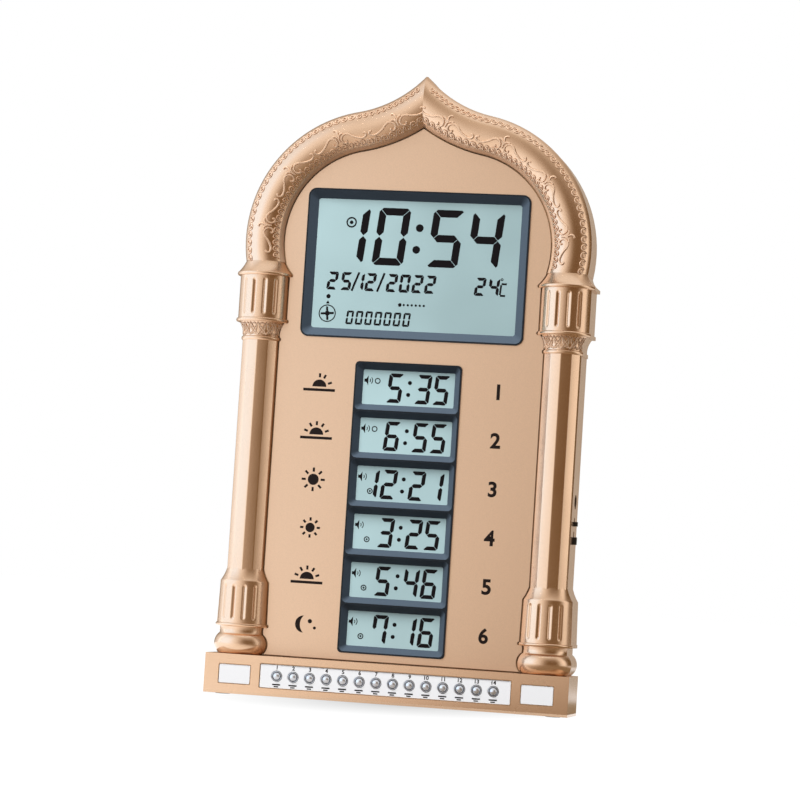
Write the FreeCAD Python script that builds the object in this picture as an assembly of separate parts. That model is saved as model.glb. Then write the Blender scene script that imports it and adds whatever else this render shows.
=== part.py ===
"""Prayer-time clock in a pointed-arch case with two half-round columns on a plinth.

Frame: +Z up, the front faces -Y, the origin is at the middle of the plinth's underside.
The plinth, the skirt, the panel and the applied mouldings make the front; a flat rear cover
carries the battery box, the loudspeaker and the fold-out stand. All sizes are in millimetres.
"""
import FreeCAD
import Part
import math
import os

V = FreeCAD.Vector

# ---------------------------------------------------------------- driving dimensions
# overall
width = 215.0
depth = 36.5
relief_depth = 13.5             # from the plinth's front back to the panel's face
plinth_height = 23.6
wall = 2.3
cover_thickness = 2.0
panel_thickness = 2.5
clearance = 0.15
past = 1.0                      # how far a cutter runs past the face that it opens
lap = 0.1                       # how far two bodies of one piece run into each other

# columns: each reach is half the width at the panel's face
column_inset = 17.0             # from the plinth's end to the column's middle
axis_sink = 4.0                 # the turned sections' axis lies this far behind the panel's face
torus_height = 12.0
torus_reach = 15.9
neck_height = 4.0
neck_reach = 12.9
band_height = 2.0
band_reach = 15.45
drum_height = 24.6
drum_low_reach = 15.0
drum_top_reach = 14.4
shoulder_height = 7.6
shaft_reach = 10.93
shaft_sides = 12
collar_drop = 4.0               # the collar's underside, below the main bezel
collar_height = 2.3
collar_reach = 11.55
throat_height = 8.6
throat_low_reach = 10.9
throat_top_reach = 13.2
upper_band_height = 2.1
upper_band_reach = 15.5
capital_height = 25.4
capital_reach = 14.65
lip_height = 2.0
lip_reach = 16.5
crown_height = 6.6
crown_reach = 11.7
column_wall = 2.6
flare_middle = 0.55             # share of a flare's height where its middle reach is measured
shoulder_middle_reach = 12.13
throat_middle_reach = 11.3
crown_middle_reach = 12.8

# flutes in the drums and capitals
flute_count = 4
flute_spread = 25.0             # degrees from one flute to the next
flute_radius = 1.6
flute_depth = 1.1
flute_margin = 2.6

# arch
arch_tube_width = 23.3
haunch_centre_x = 24.8
foot_drop = 14.0                # from the haunch circle's centre down to the arch's foot
crown_turn = 11.2               # degrees from upright where the curve turns over
apex_half_angle = 48.0
tube_overrun = 8.0              # degrees that the tube runs past its foot and tip before they are cut

# case
ledge_width = 3.0
post_sink = 0.5                 # how far a post runs into the wall beside it
post_drop = 12.0                # from the main bezel down to the upper side posts
post_angle = 48.0               # degrees up the haunch to its post

# main display
main_view_width = 122.0
main_view_height = 76.9
frame_slope = 4.75
frame_land = 0.95
frame_proud = 1.0
main_corner = 4.8
view_corner = 1.5
bezel_lap = 1.0
glass_set_back = 2.85           # from the panel's face back to the display glass
glass_thickness = 2.8
glass_lap = 3.0
light_thickness = 4.0
board_thickness = 1.6

# column of six small displays
window_count = 6
window_width = 54.8
window_height = 20.4
window_slope = 3.5
window_glass_lap = 1.9
window_corner = 0.8
strip_width = 2.4
prayer_rise = 4.8               # from the plinth's top to the small bezel
prayer_corner = 2.5
display_gap = 13.4              # between the two bezels
board_post_inset = 8.0
board_margin = 1.0
parts_on_board = [              # x, rise above the display's middle, radius and height
    (-20.0, 0.0, 9.0, 1.6),
    (-20.0, 18.0, 1.6, 5.0),
    (22.0, 10.0, 3.1, 6.5),
    (32.0, 10.0, 3.1, 6.5),
]

# plinth front
key_count = 14
key_pitch = 9.85
key_height = 12.35
strip_end = 10.1                # from the last key's middle to the strip's end
strip_height = 14.0
strip_middle = 12.25
strip_pocket = 1.4
strip_thickness = 1.0
plate_width = 18.9
plate_height = 11.2
plate_gap = 5.8                 # from the strip to the plate
plate_middle = 12.0
plate_pocket = 1.0
plate_thickness = 0.8
pocket_corner = 0.8
key_post_gap = 1.5
front_wall = 3.2

# keys
cap_radius = 3.15
cap_set_back = 0.2              # from the plinth's front back to the cap's rim
rim_width = 1.05
dome_rise = 1.4
cap_gap = 0.15
flange_lap = 0.95
flange_thickness = 0.8
flange_gap = 0.05
tail_radius = 1.7
tail_length = 2.6
switch_size = 6.0
switch_depth = 3.4
switch_overlap = 1.0
switch_bore = 2.4
key_board_height = 14.5
ribbon_width = 12.0
ribbon_thickness = 0.6
ribbon_lap = 5.0
ribbon_rise = 4.0

# rear
foot_radius = 4.5
foot_pocket = 1.0
foot_proud = 0.5
foot_inset = 9.5
leg_width = 40.0
leg_thickness = 4.0
leg_hinge_z = 118.0
leg_bottom = 9.5
leg_play = 0.08
leg_pin_radius = 1.25
pin_end_wall = 0.4
leg_gap = 2.0
leg_back_gap = 0.6
leg_grip_inset = 4.0
leg_grip_height = 8.0
leg_recess = 0.8
leg_border = 4.0
leg_recess_end = 12.0
pocket_depth = 5.0
pocket_wall = 1.7
battery_length = 50.5
battery_radius = 7.25
battery_pitch = 15.4
battery_count = 3
battery_spare = 7.0
battery_side_gap = 0.5
battery_slack = 0.8
battery_wall_gap = 2.0
battery_box_low = 62.0
battery_wall = 1.5
battery_flange = 4.0
door_gap = 0.2
door_seat_gap = 0.05
door_grip_radius = 6.5
door_grip_depth = 0.9
door_notch_radius = 7.0
door_notch_depth = 1.2
rib_count = 3
rib_length = 18.0
rib_width = 1.0
rib_pitch = 3.0
rib_depth = 0.5
hook_height = 1.5
hook_gap = 0.4
tab_width = 6.0
tab_spread = 28.0
tab_reach = 1.9
tab_root = 3.0
tab_gap = 0.3
tab_swing_gap = 0.7
contact_size = 10.0
contact_thickness = 0.5
spring_height = 6.0
spring_wire = 0.8
spring_foot_radius = 4.0
spring_tip_radius = 2.6
speaker_radius = 25.0
speaker_rise = 20.8             # from the main bezel's top to the loudspeaker's middle
speaker_depth = 13.5
speaker_rim_width = 4.0
speaker_rim_thickness = 1.2
basket_inset = 1.7              # from the rim's edge in to the basket's outside
basket_sheet = 1.0
basket_lap = 1.5                # from the magnet's edge out to the basket's foot
magnet_radius = 15.0
magnet_thickness = 5.5
magnet_plate = 1.0
coil_hole = 7.5
coil_radius = 6.2
coil_length = 1.3
cone_sheet = 0.4
cone_sink = 4.2
dust_cap_radius = 3.5
dust_cap_rise = 1.6
surround_width = 3.0
surround_crest = 1.0
surround_sink = 1.5
surround_lap = 0.4
grille_pitch = 4.2
grille_hole = 1.25
grille_rings = 5
hang_drop = 56.0                # from the loudspeaker's middle down to the hanging slot's entry
hang_entry_radius = 4.5
hang_slot_radius = 2.3
hang_slot_length = 9.0

# right-hand side controls, along the side wall
control_y = 7.5
socket_height = 124.3
socket_bore = 3.2
socket_hole = 4.2
socket_body = 9.0
socket_depth = 11.0
socket_base = 2.0
socket_recess = 0.6
socket_pin_radius = 1.0
socket_pin_recess = 1.5
volume_height = 111.5
volume_knob_length = 2.6
volume_travel = 2.0
light_height = 101.7
light_knob_length = 4.4
light_travel = 3.0
knob_width = 3.0
knob_reach = 2.0
knob_gap = 0.2
knob_flange = 1.6
knob_flange_lap = 1.2
knob_tail_half_width = 0.7
knob_tail_half_height = 0.9
knob_tail_entry = 1.6
slide_switch_height = 4.4
slide_switch_half_width = 2.2
slide_switch_end = 2.7
slide_slot_half_width = 0.9
slide_slot_end = 1.2
slide_slot_floor = 2.0
side_board_low = 90.0
side_board_high = 138.0
side_board_half = 6.5
side_post_inset = 4.0

# fasteners
boss_radius = 3.5
screw_radius = 1.3
screw_length = 9.0
screw_head_radius = 2.8
screw_head_height = 1.2
screw_head_gap = 0.2
small_screw_radius = 0.9
small_head_radius = 1.9
small_head_height = 1.3
small_screw_length = 5.0
small_boss_radius = 2.6
speaker_washer_radius = 5.0
speaker_screw_reach = 3.6
speaker_screw_cover = 0.8
thread_slack = 0.02
pilot_spare = 1.0

# ---------------------------------------------------------------- derived places
key_proud = dome_rise - cap_set_back
front_y = -depth / 2 + key_proud / 2
back_y = depth / 2 + key_proud / 2
face_y = front_y + relief_depth
axis_y = face_y + axis_sink
cover_y = back_y - cover_thickness
panel_back_y = face_y + panel_thickness
glass_y = face_y + glass_set_back
glass_back_y = glass_y + glass_thickness
board_y = glass_back_y + light_thickness
board_back_y = board_y + board_thickness
half_width = width / 2
column_x = half_width - column_inset
wall_line = column_x + shaft_reach - wall

window_margin = frame_land + window_slope
window_pitch = window_height + 2 * window_slope + frame_land
prayer_width = window_width + 2 * window_margin
prayer_bottom = plinth_height + prayer_rise
prayer_top = prayer_bottom + window_pitch * (window_count - 1) + window_height + 2 * window_margin
prayer_middle = (prayer_bottom + prayer_top) / 2
main_margin = frame_land + frame_slope
main_width = main_view_width + 2 * main_margin
main_height = main_view_height + 2 * main_margin
main_bottom = prayer_top + display_gap
main_top = main_bottom + main_height
main_middle = (main_bottom + main_top) / 2

neck_z = plinth_height + torus_height
band_z = neck_z + neck_height
drum_z = band_z + band_height
shoulder_z = drum_z + drum_height
shaft_z = shoulder_z + shoulder_height
collar_z = main_bottom - collar_drop
throat_z = collar_z + collar_height
upper_band_z = throat_z + throat_height
capital_z = upper_band_z + upper_band_height
lip_z = capital_z + capital_height
crown_z = lip_z + lip_height
foot_z = crown_z + crown_height
spring_z = foot_z + foot_drop

haunch_radius = math.hypot(column_x - haunch_centre_x, foot_drop)
turn = math.radians(crown_turn)
apex = math.sin(math.radians(apex_half_angle))
outer_haunch = haunch_radius + arch_tube_width / 2
ogee_radius = (haunch_centre_x + outer_haunch * math.sin(turn)) / (apex - math.sin(turn))
centre_gap = outer_haunch + ogee_radius
ogee_centre_radius = ogee_radius + arch_tube_width / 2
ogee_x = haunch_centre_x + centre_gap * math.sin(turn)
ogee_z = spring_z + centre_gap * math.cos(turn)

dome_radius = cap_radius - rim_width
flange_radius = cap_radius + flange_lap
strip_length = key_pitch * (key_count - 1) + 2 * strip_end
plate_centre_x = strip_length / 2 + plate_gap + plate_width / 2
key_front = front_y + strip_pocket
key_wall_back = front_y + front_wall
key_flange_back = key_wall_back + flange_gap + flange_thickness
key_post_x = strip_length / 2 + key_post_gap
switch_y = key_flange_back + tail_length - switch_overlap
key_board_y = switch_y + switch_depth
side_board_x = wall_line - socket_depth - board_thickness
post_x = wall_line - boss_radius + post_sink
plinth_floor = foot_proud + wall
cover_bottom = plinth_floor + clearance
plinth_post_x = half_width - wall - boss_radius + post_sink
battery_inner_x = battery_count * battery_pitch / 2 + battery_side_gap
battery_outer_x = battery_inner_x + battery_wall + battery_flange
battery_box_x = -(wall_line - battery_wall_gap - battery_outer_x)
battery_box_high = battery_box_low + battery_length + battery_spare
battery_floor = cover_y - 2 * battery_radius - battery_slack
pocket_y = back_y - pocket_depth
leg_y = pocket_y + leg_back_gap
pin_y = leg_y + leg_thickness / 2
pocket_half = leg_width / 2 + leg_gap
pocket_top = leg_hinge_z + leg_thickness / 2 + leg_gap
speaker_middle = main_top + speaker_rise
hang_height = speaker_middle - hang_drop


# ---------------------------------------------------------------- helpers
def box(x0, x1, y0, y1, z0, z1):
    """A box between two corners."""
    return Part.makeBox(x1 - x0, y1 - y0, z1 - z0, V(x0, y0, z0))


def rod_x(y, z, radius, x0, x1):
    """A cylinder along X."""
    return Part.makeCylinder(radius, x1 - x0, V(x0, y, z), V(1, 0, 0))


def rod_y(x, z, radius, y0, y1):
    """A cylinder along Y."""
    return Part.makeCylinder(radius, y1 - y0, V(x, y0, z), V(0, 1, 0))


def rod_z(x, y, radius, z0, z1):
    """A cylinder along Z."""
    return Part.makeCylinder(radius, z1 - z0, V(x, y, z0), V(0, 0, 1))


def rounded_wire(x, z, size_x, size_z, corner, y):
    """A rectangle with round corners, facing along Y."""
    left, right = x - size_x / 2, x + size_x / 2
    low, high = z - size_z / 2, z + size_z / 2
    bend = corner * (1 - math.sqrt(0.5))
    edges = [
        Part.LineSegment(V(left + corner, y, low), V(right - corner, y, low)),
        Part.Arc(V(right - corner, y, low), V(right - bend, y, low + bend), V(right, y, low + corner)),
        Part.LineSegment(V(right, y, low + corner), V(right, y, high - corner)),
        Part.Arc(V(right, y, high - corner), V(right - bend, y, high - bend), V(right - corner, y, high)),
        Part.LineSegment(V(right - corner, y, high), V(left + corner, y, high)),
        Part.Arc(V(left + corner, y, high), V(left + bend, y, high - bend), V(left, y, high - corner)),
        Part.LineSegment(V(left, y, high - corner), V(left, y, low + corner)),
        Part.Arc(V(left, y, low + corner), V(left + bend, y, low + bend), V(left + corner, y, low)),
    ]
    return Part.Wire([edge.toShape() for edge in edges])


def rounded_plate(x, z, size_x, size_z, corner, y0, y1):
    """A flat plate with round corners between two depths."""
    face = Part.Face(rounded_wire(x, z, size_x, size_z, corner, y0))
    return face.extrude(V(0, y1 - y0, 0))


def sloped_window(x, z, size_x, size_z, corner, slope, y0, y1):
    """The space inside a frame whose four sides slope in from y0 to the opening at y1."""
    wide = rounded_wire(x, z, size_x + 2 * slope, size_z + 2 * slope, corner + slope / 2, y0)
    narrow = rounded_wire(x, z, size_x, size_z, corner, y1)
    return Part.makeLoft([wide, narrow], True, True)


def joined(shapes):
    """Several touching shapes as one solid."""
    whole = shapes[0].multiFuse(shapes[1:]) if len(shapes) > 1 else shapes[0]
    return whole.removeSplitter()


def without(shape, cutters):
    """A shape less a list of cutters."""
    return shape.cut(cutters)


def mirrored(shape):
    """The same shape on the other side of the middle plane."""
    return shape.mirror(V(0, 0, 0), V(1, 0, 0))


def save(name, shapes):
    """Write one node, made of one solid or of a group of separate solids."""
    solids = []
    for shape in shapes:
        solids.extend(shape.Solids)
    for solid in solids:
        if not solid.isValid() or solid.Volume <= 0:
            raise ValueError(name + " holds a solid that isn't valid")
    node = solids[0] if len(solids) == 1 else Part.makeCompound(solids)
    node.exportStep("parts/" + name + ".step")
    print(name, len(solids), round(sum(solid.Volume for solid in solids)))


# ---------------------------------------------------------------- outlines
def arch_points(offset, low_z):
    """Start, middle and end points of the arch's two arcs, offset from the tube's middle line."""
    near = haunch_radius + offset
    far = ogee_centre_radius - offset
    start_angle = math.asin((low_z - spring_z) / near)
    turn_angle = math.pi / 2 - turn
    middle_angle = (start_angle + turn_angle) / 2
    tip_z = ogee_z - math.sqrt(far ** 2 - ogee_x ** 2)
    tip_angle = math.atan2(tip_z - ogee_z, -ogee_x)
    top_angle = math.atan2(-math.cos(turn), -math.sin(turn))
    lean = (tip_angle + top_angle) / 2

    def near_point(angle):
        return (haunch_centre_x + near * math.cos(angle), spring_z + near * math.sin(angle))

    return [
        near_point(start_angle),
        near_point(middle_angle),
        near_point(turn_angle),
        (ogee_x + far * math.cos(lean), ogee_z + far * math.sin(lean)),
        (0.0, tip_z),
    ]


def arch_edges(points, y):
    """Two tangent arcs from the arch's foot up to its tip."""
    at = [V(x, y, z) for x, z in points]
    return [Part.Arc(at[0], at[1], at[2]).toShape(), Part.Arc(at[2], at[3], at[4]).toShape()]


def base_steps():
    """The column's base as (reach, z, arc middle), from the plinth up to the shaft."""
    half = torus_height / 2
    return [
        (neck_reach, plinth_height, None),
        (neck_reach, neck_z, (torus_reach, plinth_height + half)),
        (neck_reach, band_z, None),
        (band_reach, band_z, None),
        (band_reach, drum_z, None),
        (drum_low_reach, drum_z, None),
        (drum_top_reach, shoulder_z, None),
        (shaft_reach, shaft_z, (shoulder_middle_reach, shoulder_z + flare_middle * shoulder_height)),
    ]


def capital_steps():
    """The column's capital as (reach, z, arc middle), from the shaft up to the arch's foot."""
    return [
        (collar_reach, collar_z, None),
        (collar_reach, throat_z, None),
        (throat_low_reach, throat_z, None),
        (throat_top_reach, upper_band_z, (throat_middle_reach, throat_z + flare_middle * throat_height)),
        (upper_band_reach, upper_band_z, None),
        (upper_band_reach, capital_z, None),
        (capital_reach, capital_z, None),
        (capital_reach, lip_z, None),
        (lip_reach, lip_z, None),
        (lip_reach, crown_z, None),
        (crown_reach, foot_z, (crown_middle_reach, crown_z + flare_middle * crown_height)),
    ]


def step_edges(steps, place):
    """Lines and arcs through the steps; place turns (reach, z) into a point."""
    edges = []
    for low, high in zip(steps, steps[1:]):
        start, end = place(low[0], low[1]), place(high[0], high[1])
        if high[2] is None:
            edges.append(Part.LineSegment(start, end).toShape())
        else:
            edges.append(Part.Arc(start, place(high[2][0], high[2][1]), end).toShape())
    return edges


def skirt_outline(y):
    """The right half of the case's outline, seen from the front."""
    def place(reach, z):
        return V(column_x + reach, y, z)

    steps = base_steps() + [(shaft_reach, collar_z, None)] + capital_steps()
    edges = step_edges(steps, place)
    arch = arch_points(arch_tube_width / 2, foot_z)
    first = edges[0].Vertexes[0].Point
    last = edges[-1].Vertexes[-1].Point
    foot = V(arch[0][0], y, arch[0][1])
    edges.append(Part.LineSegment(last, foot).toShape())
    edges.extend(arch_edges(arch, y))
    tip = V(0, y, arch[-1][1])
    corner = V(0, y, plinth_height)
    edges.append(Part.LineSegment(tip, corner).toShape())
    edges.append(Part.LineSegment(corner, first).toShape())
    return Part.Face(Part.Wire(edges))


def cavity_outline(inset, low_z, y):
    """The right half of the case's inside, drawn in by an inset."""
    line_x = wall_line - inset
    radius = outer_haunch - wall - inset
    meet_z = spring_z - math.sqrt(radius ** 2 - (line_x - haunch_centre_x) ** 2)
    arch = arch_points(radius - haunch_radius, meet_z)
    edges = [
        Part.LineSegment(V(0, y, low_z), V(line_x, y, low_z)).toShape(),
        Part.LineSegment(V(line_x, y, low_z), V(arch[0][0], y, arch[0][1])).toShape(),
    ]
    edges.extend(arch_edges(arch, y))
    edges.append(Part.LineSegment(V(0, y, arch[-1][1]), V(0, y, low_z)).toShape())
    return Part.Face(Part.Wire(edges))


def both_halves(face, y_length):
    """A half outline pushed back along Y and joined to its mirror image."""
    half = face.extrude(V(0, y_length, 0))
    return joined([half, mirrored(half)])


def arch_post_places():
    """Places of the screw posts, as (x, z)."""
    places = []
    for side in (-1, 1):
        places.append((side * post_x, drum_z))
        places.append((side * post_x, main_bottom - post_drop))
        reach = outer_haunch - wall - boss_radius + post_sink
        angle = math.radians(post_angle)
        x = haunch_centre_x + reach * math.cos(angle)
        places.append((side * x, spring_z + reach * math.sin(angle)))
    return places


# ---------------------------------------------------------------- case
def front_case():
    """The skirt behind the mouldings: a wall that follows the outline, with a ledge and posts."""
    shell = both_halves(skirt_outline(face_y), back_y - face_y)
    pocket = both_halves(cavity_outline(0, plinth_height, face_y), panel_thickness)
    ledge_y = panel_back_y + wall
    throat = both_halves(cavity_outline(ledge_width, plinth_height, panel_back_y), wall)
    room = both_halves(cavity_outline(0, plinth_height, ledge_y), back_y - ledge_y)
    shell = without(shell, [pocket, throat, room])
    posts = [rod_y(x, z, boss_radius, panel_back_y, cover_y) for x, z in arch_post_places()]
    x0 = side_board_x + board_thickness
    for z in side_post_heights():
        posts.append(rod_x(control_y, z, small_boss_radius, x0, wall_line + post_sink))
    shell = joined([shell] + posts)
    pilots = [rod_y(x, z, screw_radius + thread_slack, cover_y - screw_length, back_y)
              for x, z in arch_post_places()]
    pilot_end = side_board_x + small_screw_length + pilot_spare
    for z in side_post_heights():
        pilots.append(rod_x(control_y, z, small_screw_radius + thread_slack, x0 - past, pilot_end))
    outside = wall_line + 2 * wall
    pilots.append(rod_x(control_y, socket_height, socket_hole, wall_line - past, outside))
    for z, length, travel in (
            (volume_height, volume_knob_length, volume_travel),
            (light_height, light_knob_length, light_travel)):
        low = z - length / 2 - knob_gap
        high = z + length / 2 + travel + knob_gap
        slot_half = knob_width / 2 + knob_gap
        pilots.append(box(wall_line - past, outside, control_y - slot_half, control_y + slot_half, low, high))
    return without(shell, pilots)


def front_panel():
    """The flat panel between the mouldings, with both display openings and board posts."""
    face = cavity_outline(clearance, plinth_height + clearance, face_y)
    panel = both_halves(face, panel_thickness)
    posts = [rod_y(x, z, small_boss_radius, panel_back_y, board_y) for x, z in board_posts()]
    panel = joined([panel] + posts)
    hole_x = 2 * bezel_lap
    cuts = [
        rounded_plate(0, main_middle, main_width - hole_x, main_height - hole_x,
                      main_corner - bezel_lap, face_y - past, panel_back_y + past),
        rounded_plate(0, prayer_middle, prayer_width - hole_x, prayer_top - prayer_bottom - hole_x,
                      prayer_corner - bezel_lap, face_y - past, panel_back_y + past),
    ]
    pilot_end = board_back_y - small_screw_length - pilot_spare
    for x, z in board_posts():
        cuts.append(rod_y(x, z, small_screw_radius + thread_slack, pilot_end, board_y + past))
    return without(panel, cuts)


def board_posts():
    """Places of the posts that carry the two display boards, as (x, z)."""
    places = []
    main_x = main_width / 2 + small_boss_radius
    small_x = prayer_width / 2 + small_boss_radius
    for side in (-1, 1):
        for z in (main_bottom + board_post_inset, main_top - board_post_inset):
            places.append((side * main_x, z))
        for z in (prayer_bottom + board_post_inset, prayer_middle, prayer_top - board_post_inset):
            places.append((side * small_x, z))
    return places


def flutes(reach, low_z, high_z):
    """Round-ended grooves cut into a drum."""
    radius = math.hypot(reach, axis_sink)
    far = radius + flute_radius - flute_depth
    cutters = []
    for index in range(flute_count):
        angle = math.radians((index - (flute_count - 1) / 2) * flute_spread)
        x = column_x + far * math.sin(angle)
        y = axis_y - far * math.cos(angle)
        low, high = low_z + flute_margin + flute_radius, high_z - flute_margin - flute_radius
        cutters.append(rod_z(x, y, flute_radius, low, high))
        cutters.append(Part.makeSphere(flute_radius, V(x, y, low)))
        cutters.append(Part.makeSphere(flute_radius, V(x, y, high)))
    return cutters


def turned(steps):
    """The front half of a turned section of the column."""
    def place(reach, z):
        return V(column_x + math.hypot(reach, axis_sink), axis_y, z)

    edges = step_edges(steps, place)
    low, high = steps[0][1], steps[-1][1]
    first = edges[0].Vertexes[0].Point
    last = edges[-1].Vertexes[-1].Point
    edges.append(Part.LineSegment(last, V(column_x, axis_y, high)).toShape())
    edges.append(Part.LineSegment(V(column_x, axis_y, high), V(column_x, axis_y, low)).toShape())
    edges.append(Part.LineSegment(V(column_x, axis_y, low), first).toShape())
    face = Part.Face(Part.Wire(edges))
    return face.revolve(V(column_x, axis_y, 0), V(0, 0, -1), 180)


def shaft():
    """The faceted shaft, as a full prism about the column's axis with a ridge to the front."""
    radius = shaft_reach + axis_sink * math.tan(math.pi / shaft_sides)
    corners = []
    for index in range(shaft_sides + 1):
        angle = 2 * math.pi * index / shaft_sides
        corners.append(V(column_x + radius * math.sin(angle), axis_y - radius * math.cos(angle), shaft_z))
    face = Part.Face(Part.makePolygon(corners))
    return face.extrude(V(0, 0, collar_z - shaft_z))


def right_column():
    """A half-round column: fluted base drum, faceted shaft, waisted throat and fluted capital."""
    column = joined([turned(base_steps()), shaft(), turned(capital_steps())])
    column = without(column, flutes((drum_low_reach + drum_top_reach) / 2, drum_z, shoulder_z)
                     + flutes(capital_reach, capital_z, lip_z))
    bore = rod_z(column_x, axis_y, shaft_reach - column_wall, plinth_height + wall, foot_z - wall)
    span = 2 * lip_reach
    front = box(column_x - span, column_x + span, face_y - span, face_y, plinth_height, foot_z)
    return without(column.common(front), [bore])


def arch_tube(radius):
    """A round tube along the arch's middle line, on the right of the middle plane."""
    turn_angle = 90 - crown_turn
    low_angle = -math.degrees(math.asin(foot_drop / haunch_radius)) - tube_overrun
    centre = V(haunch_centre_x, 0, spring_z)

    def disc(middle, reach, angle):
        a = math.radians(angle)
        point = V(middle.x + reach * math.cos(a), axis_y, middle.z + reach * math.sin(a))
        ring = Part.makeCircle(radius, point, V(-math.sin(a), 0, math.cos(a)))
        return Part.Face(Part.Wire([ring]))

    haunch = disc(centre, haunch_radius, low_angle).revolve(centre, V(0, -1, 0), turn_angle - low_angle)
    ogee = V(ogee_x, 0, ogee_z)
    start = 180 + turn_angle
    sweep = start - (270 - apex_half_angle - tube_overrun)
    crown = disc(ogee, ogee_centre_radius, start).revolve(ogee, V(0, 1, 0), sweep)
    return joined([haunch, crown])


def right_arch():
    """Half of the ogee arch: a hollow half-round tube, mitred at the tip."""
    outer = math.hypot(arch_tube_width / 2, axis_sink)
    inner = arch_tube_width / 2 - column_wall
    tube = without(arch_tube(outer), [arch_tube(inner)])
    return tube.common(box(0, width, face_y - width, face_y, foot_z, 2 * foot_z))


def key_places():
    """The keys' places along the strip."""
    return [(index - (key_count - 1) / 2) * key_pitch for index in range(key_count)]


def foot_places():
    """The feet's places as (x, y)."""
    middle_y = (front_y + back_y) / 2
    reach_x, reach_y = half_width - foot_inset, (back_y - front_y) / 2 - foot_inset
    return [(side * reach_x, middle_y + end * reach_y) for side in (-1, 1) for end in (-1, 1)]


def plinth():
    """The hollow plinth, open at the back, with pockets for the strip, the plates and the feet."""
    inner_x = half_width - wall
    shell = box(-half_width, half_width, front_y, back_y, foot_proud, plinth_height)
    room = box(-inner_x, inner_x, key_wall_back, back_y + past, plinth_floor, plinth_height - wall)
    hatch_x = wall_line - 2 * wall
    ledge_y = panel_back_y + wall
    low, high = plinth_height - 2 * wall, plinth_height + past
    hatch = box(-hatch_x, hatch_x, ledge_y, back_y + past, low, high)
    seat = box(-wall_line, wall_line, cover_y, back_y + past, low, high)
    shell = without(shell, [room, hatch, seat])
    posts = []
    for side in (-1, 1):
        posts.append(rod_y(side * key_post_x, key_height, small_boss_radius, key_wall_back, key_board_y))
        posts.append(rod_y(side * plinth_post_x, key_height, boss_radius, key_wall_back, cover_y))
    shell = joined([shell] + posts)
    pocket_back = front_y + strip_pocket
    start = front_y - past
    key_back = key_board_y + board_thickness
    cuts = [rounded_plate(0, strip_middle, strip_length, strip_height, pocket_corner, start, pocket_back)]
    for side in (-1, 1):
        cuts.append(rounded_plate(side * plate_centre_x, plate_middle, plate_width, plate_height,
                                  pocket_corner, start, front_y + plate_pocket))
        cuts.append(rod_y(side * key_post_x, key_height, small_screw_radius + thread_slack,
                          key_back - small_screw_length - pilot_spare, key_board_y + past))
        cuts.append(rod_y(side * plinth_post_x, key_height, screw_radius + thread_slack,
                          cover_y - screw_length, cover_y + past))
    for x in key_places():
        cuts.append(rod_y(x, key_height, cap_radius + cap_gap, start, key_wall_back + past))
    for x, y in foot_places():
        cuts.append(rod_z(x, y, foot_radius + clearance, 0, foot_proud + foot_pocket))
    return without(shell, cuts)


def foot(x, y):
    """A round rubber foot in its pocket."""
    return rod_z(x, y, foot_radius, 0, foot_proud + foot_pocket)


def end_plate(side):
    """A plain white plate let into the plinth beside the strip."""
    return rounded_plate(side * plate_centre_x, plate_middle, plate_width - 2 * clearance,
                         plate_height - 2 * clearance, pocket_corner - clearance,
                         front_y + plate_pocket - plate_thickness, front_y + plate_pocket)


# ---------------------------------------------------------------- keys
def key_strip():
    """The white strip that the keys come through."""
    strip = rounded_plate(0, strip_middle, strip_length - 2 * clearance, strip_height - 2 * clearance,
                          pocket_corner - clearance, key_front - strip_thickness, key_front)
    holes = [rod_y(x, key_height, cap_radius + cap_gap, front_y - past, key_front + past)
             for x in key_places()]
    return without(strip, holes)


def key(x):
    """A domed cap with the flange that keeps it in and the tail that works its switch."""
    rim_y = front_y + cap_set_back
    ball = (dome_radius ** 2 + dome_rise ** 2) / (2 * dome_rise)
    dome = Part.makeSphere(ball, V(x, rim_y - dome_rise + ball, key_height))
    dome = dome.common(rod_y(x, key_height, cap_radius, rim_y - 2 * dome_rise, rim_y + lap))
    flange_y = key_wall_back + flange_gap
    return joined([
        rod_y(x, key_height, cap_radius, rim_y, flange_y),
        dome,
        rod_y(x, key_height, flange_radius, flange_y, key_flange_back),
        rod_y(x, key_height, tail_radius, key_flange_back, key_flange_back + tail_length),
    ])


def key_switch(x):
    """A small push switch whose well takes the key's tail."""
    half = switch_size / 2
    body = box(x - half, x + half, switch_y, key_board_y, key_height - half, key_height + half)
    well = rod_y(x, key_height, tail_radius + cap_gap, switch_y - past, switch_y + switch_bore)
    return without(body, [well])


def key_board():
    """The circuit board behind the keys."""
    half_x = key_post_x + small_boss_radius + board_margin
    half_z = key_board_height / 2
    board = box(-half_x, half_x, key_board_y, key_board_y + board_thickness,
                key_height - half_z, key_height + half_z)
    far = key_board_y + board_thickness + past
    holes = [rod_y(side * key_post_x, key_height, small_screw_radius + clearance, key_board_y - past, far)
             for side in (-1, 1)]
    return without(board, holes)


# ---------------------------------------------------------------- displays
def main_bezel():
    """The frame round the main display: a proud flange, and a collar down to the glass."""
    flange = rounded_plate(0, main_middle, main_width, main_height, main_corner, face_y - frame_proud, face_y)
    inset = 2 * (bezel_lap + clearance)
    collar = rounded_plate(0, main_middle, main_width - inset, main_height - inset,
                           main_corner - bezel_lap, face_y, glass_y)
    hole = sloped_window(0, main_middle, main_view_width, main_view_height, view_corner,
                         frame_slope, face_y - frame_proud, glass_y)
    return without(joined([flange, collar]), [hole])


def window_middles():
    """The six windows' middles, from the top down."""
    top = prayer_top - window_margin - window_height / 2
    return [top - index * window_pitch for index in range(window_count)]


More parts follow.
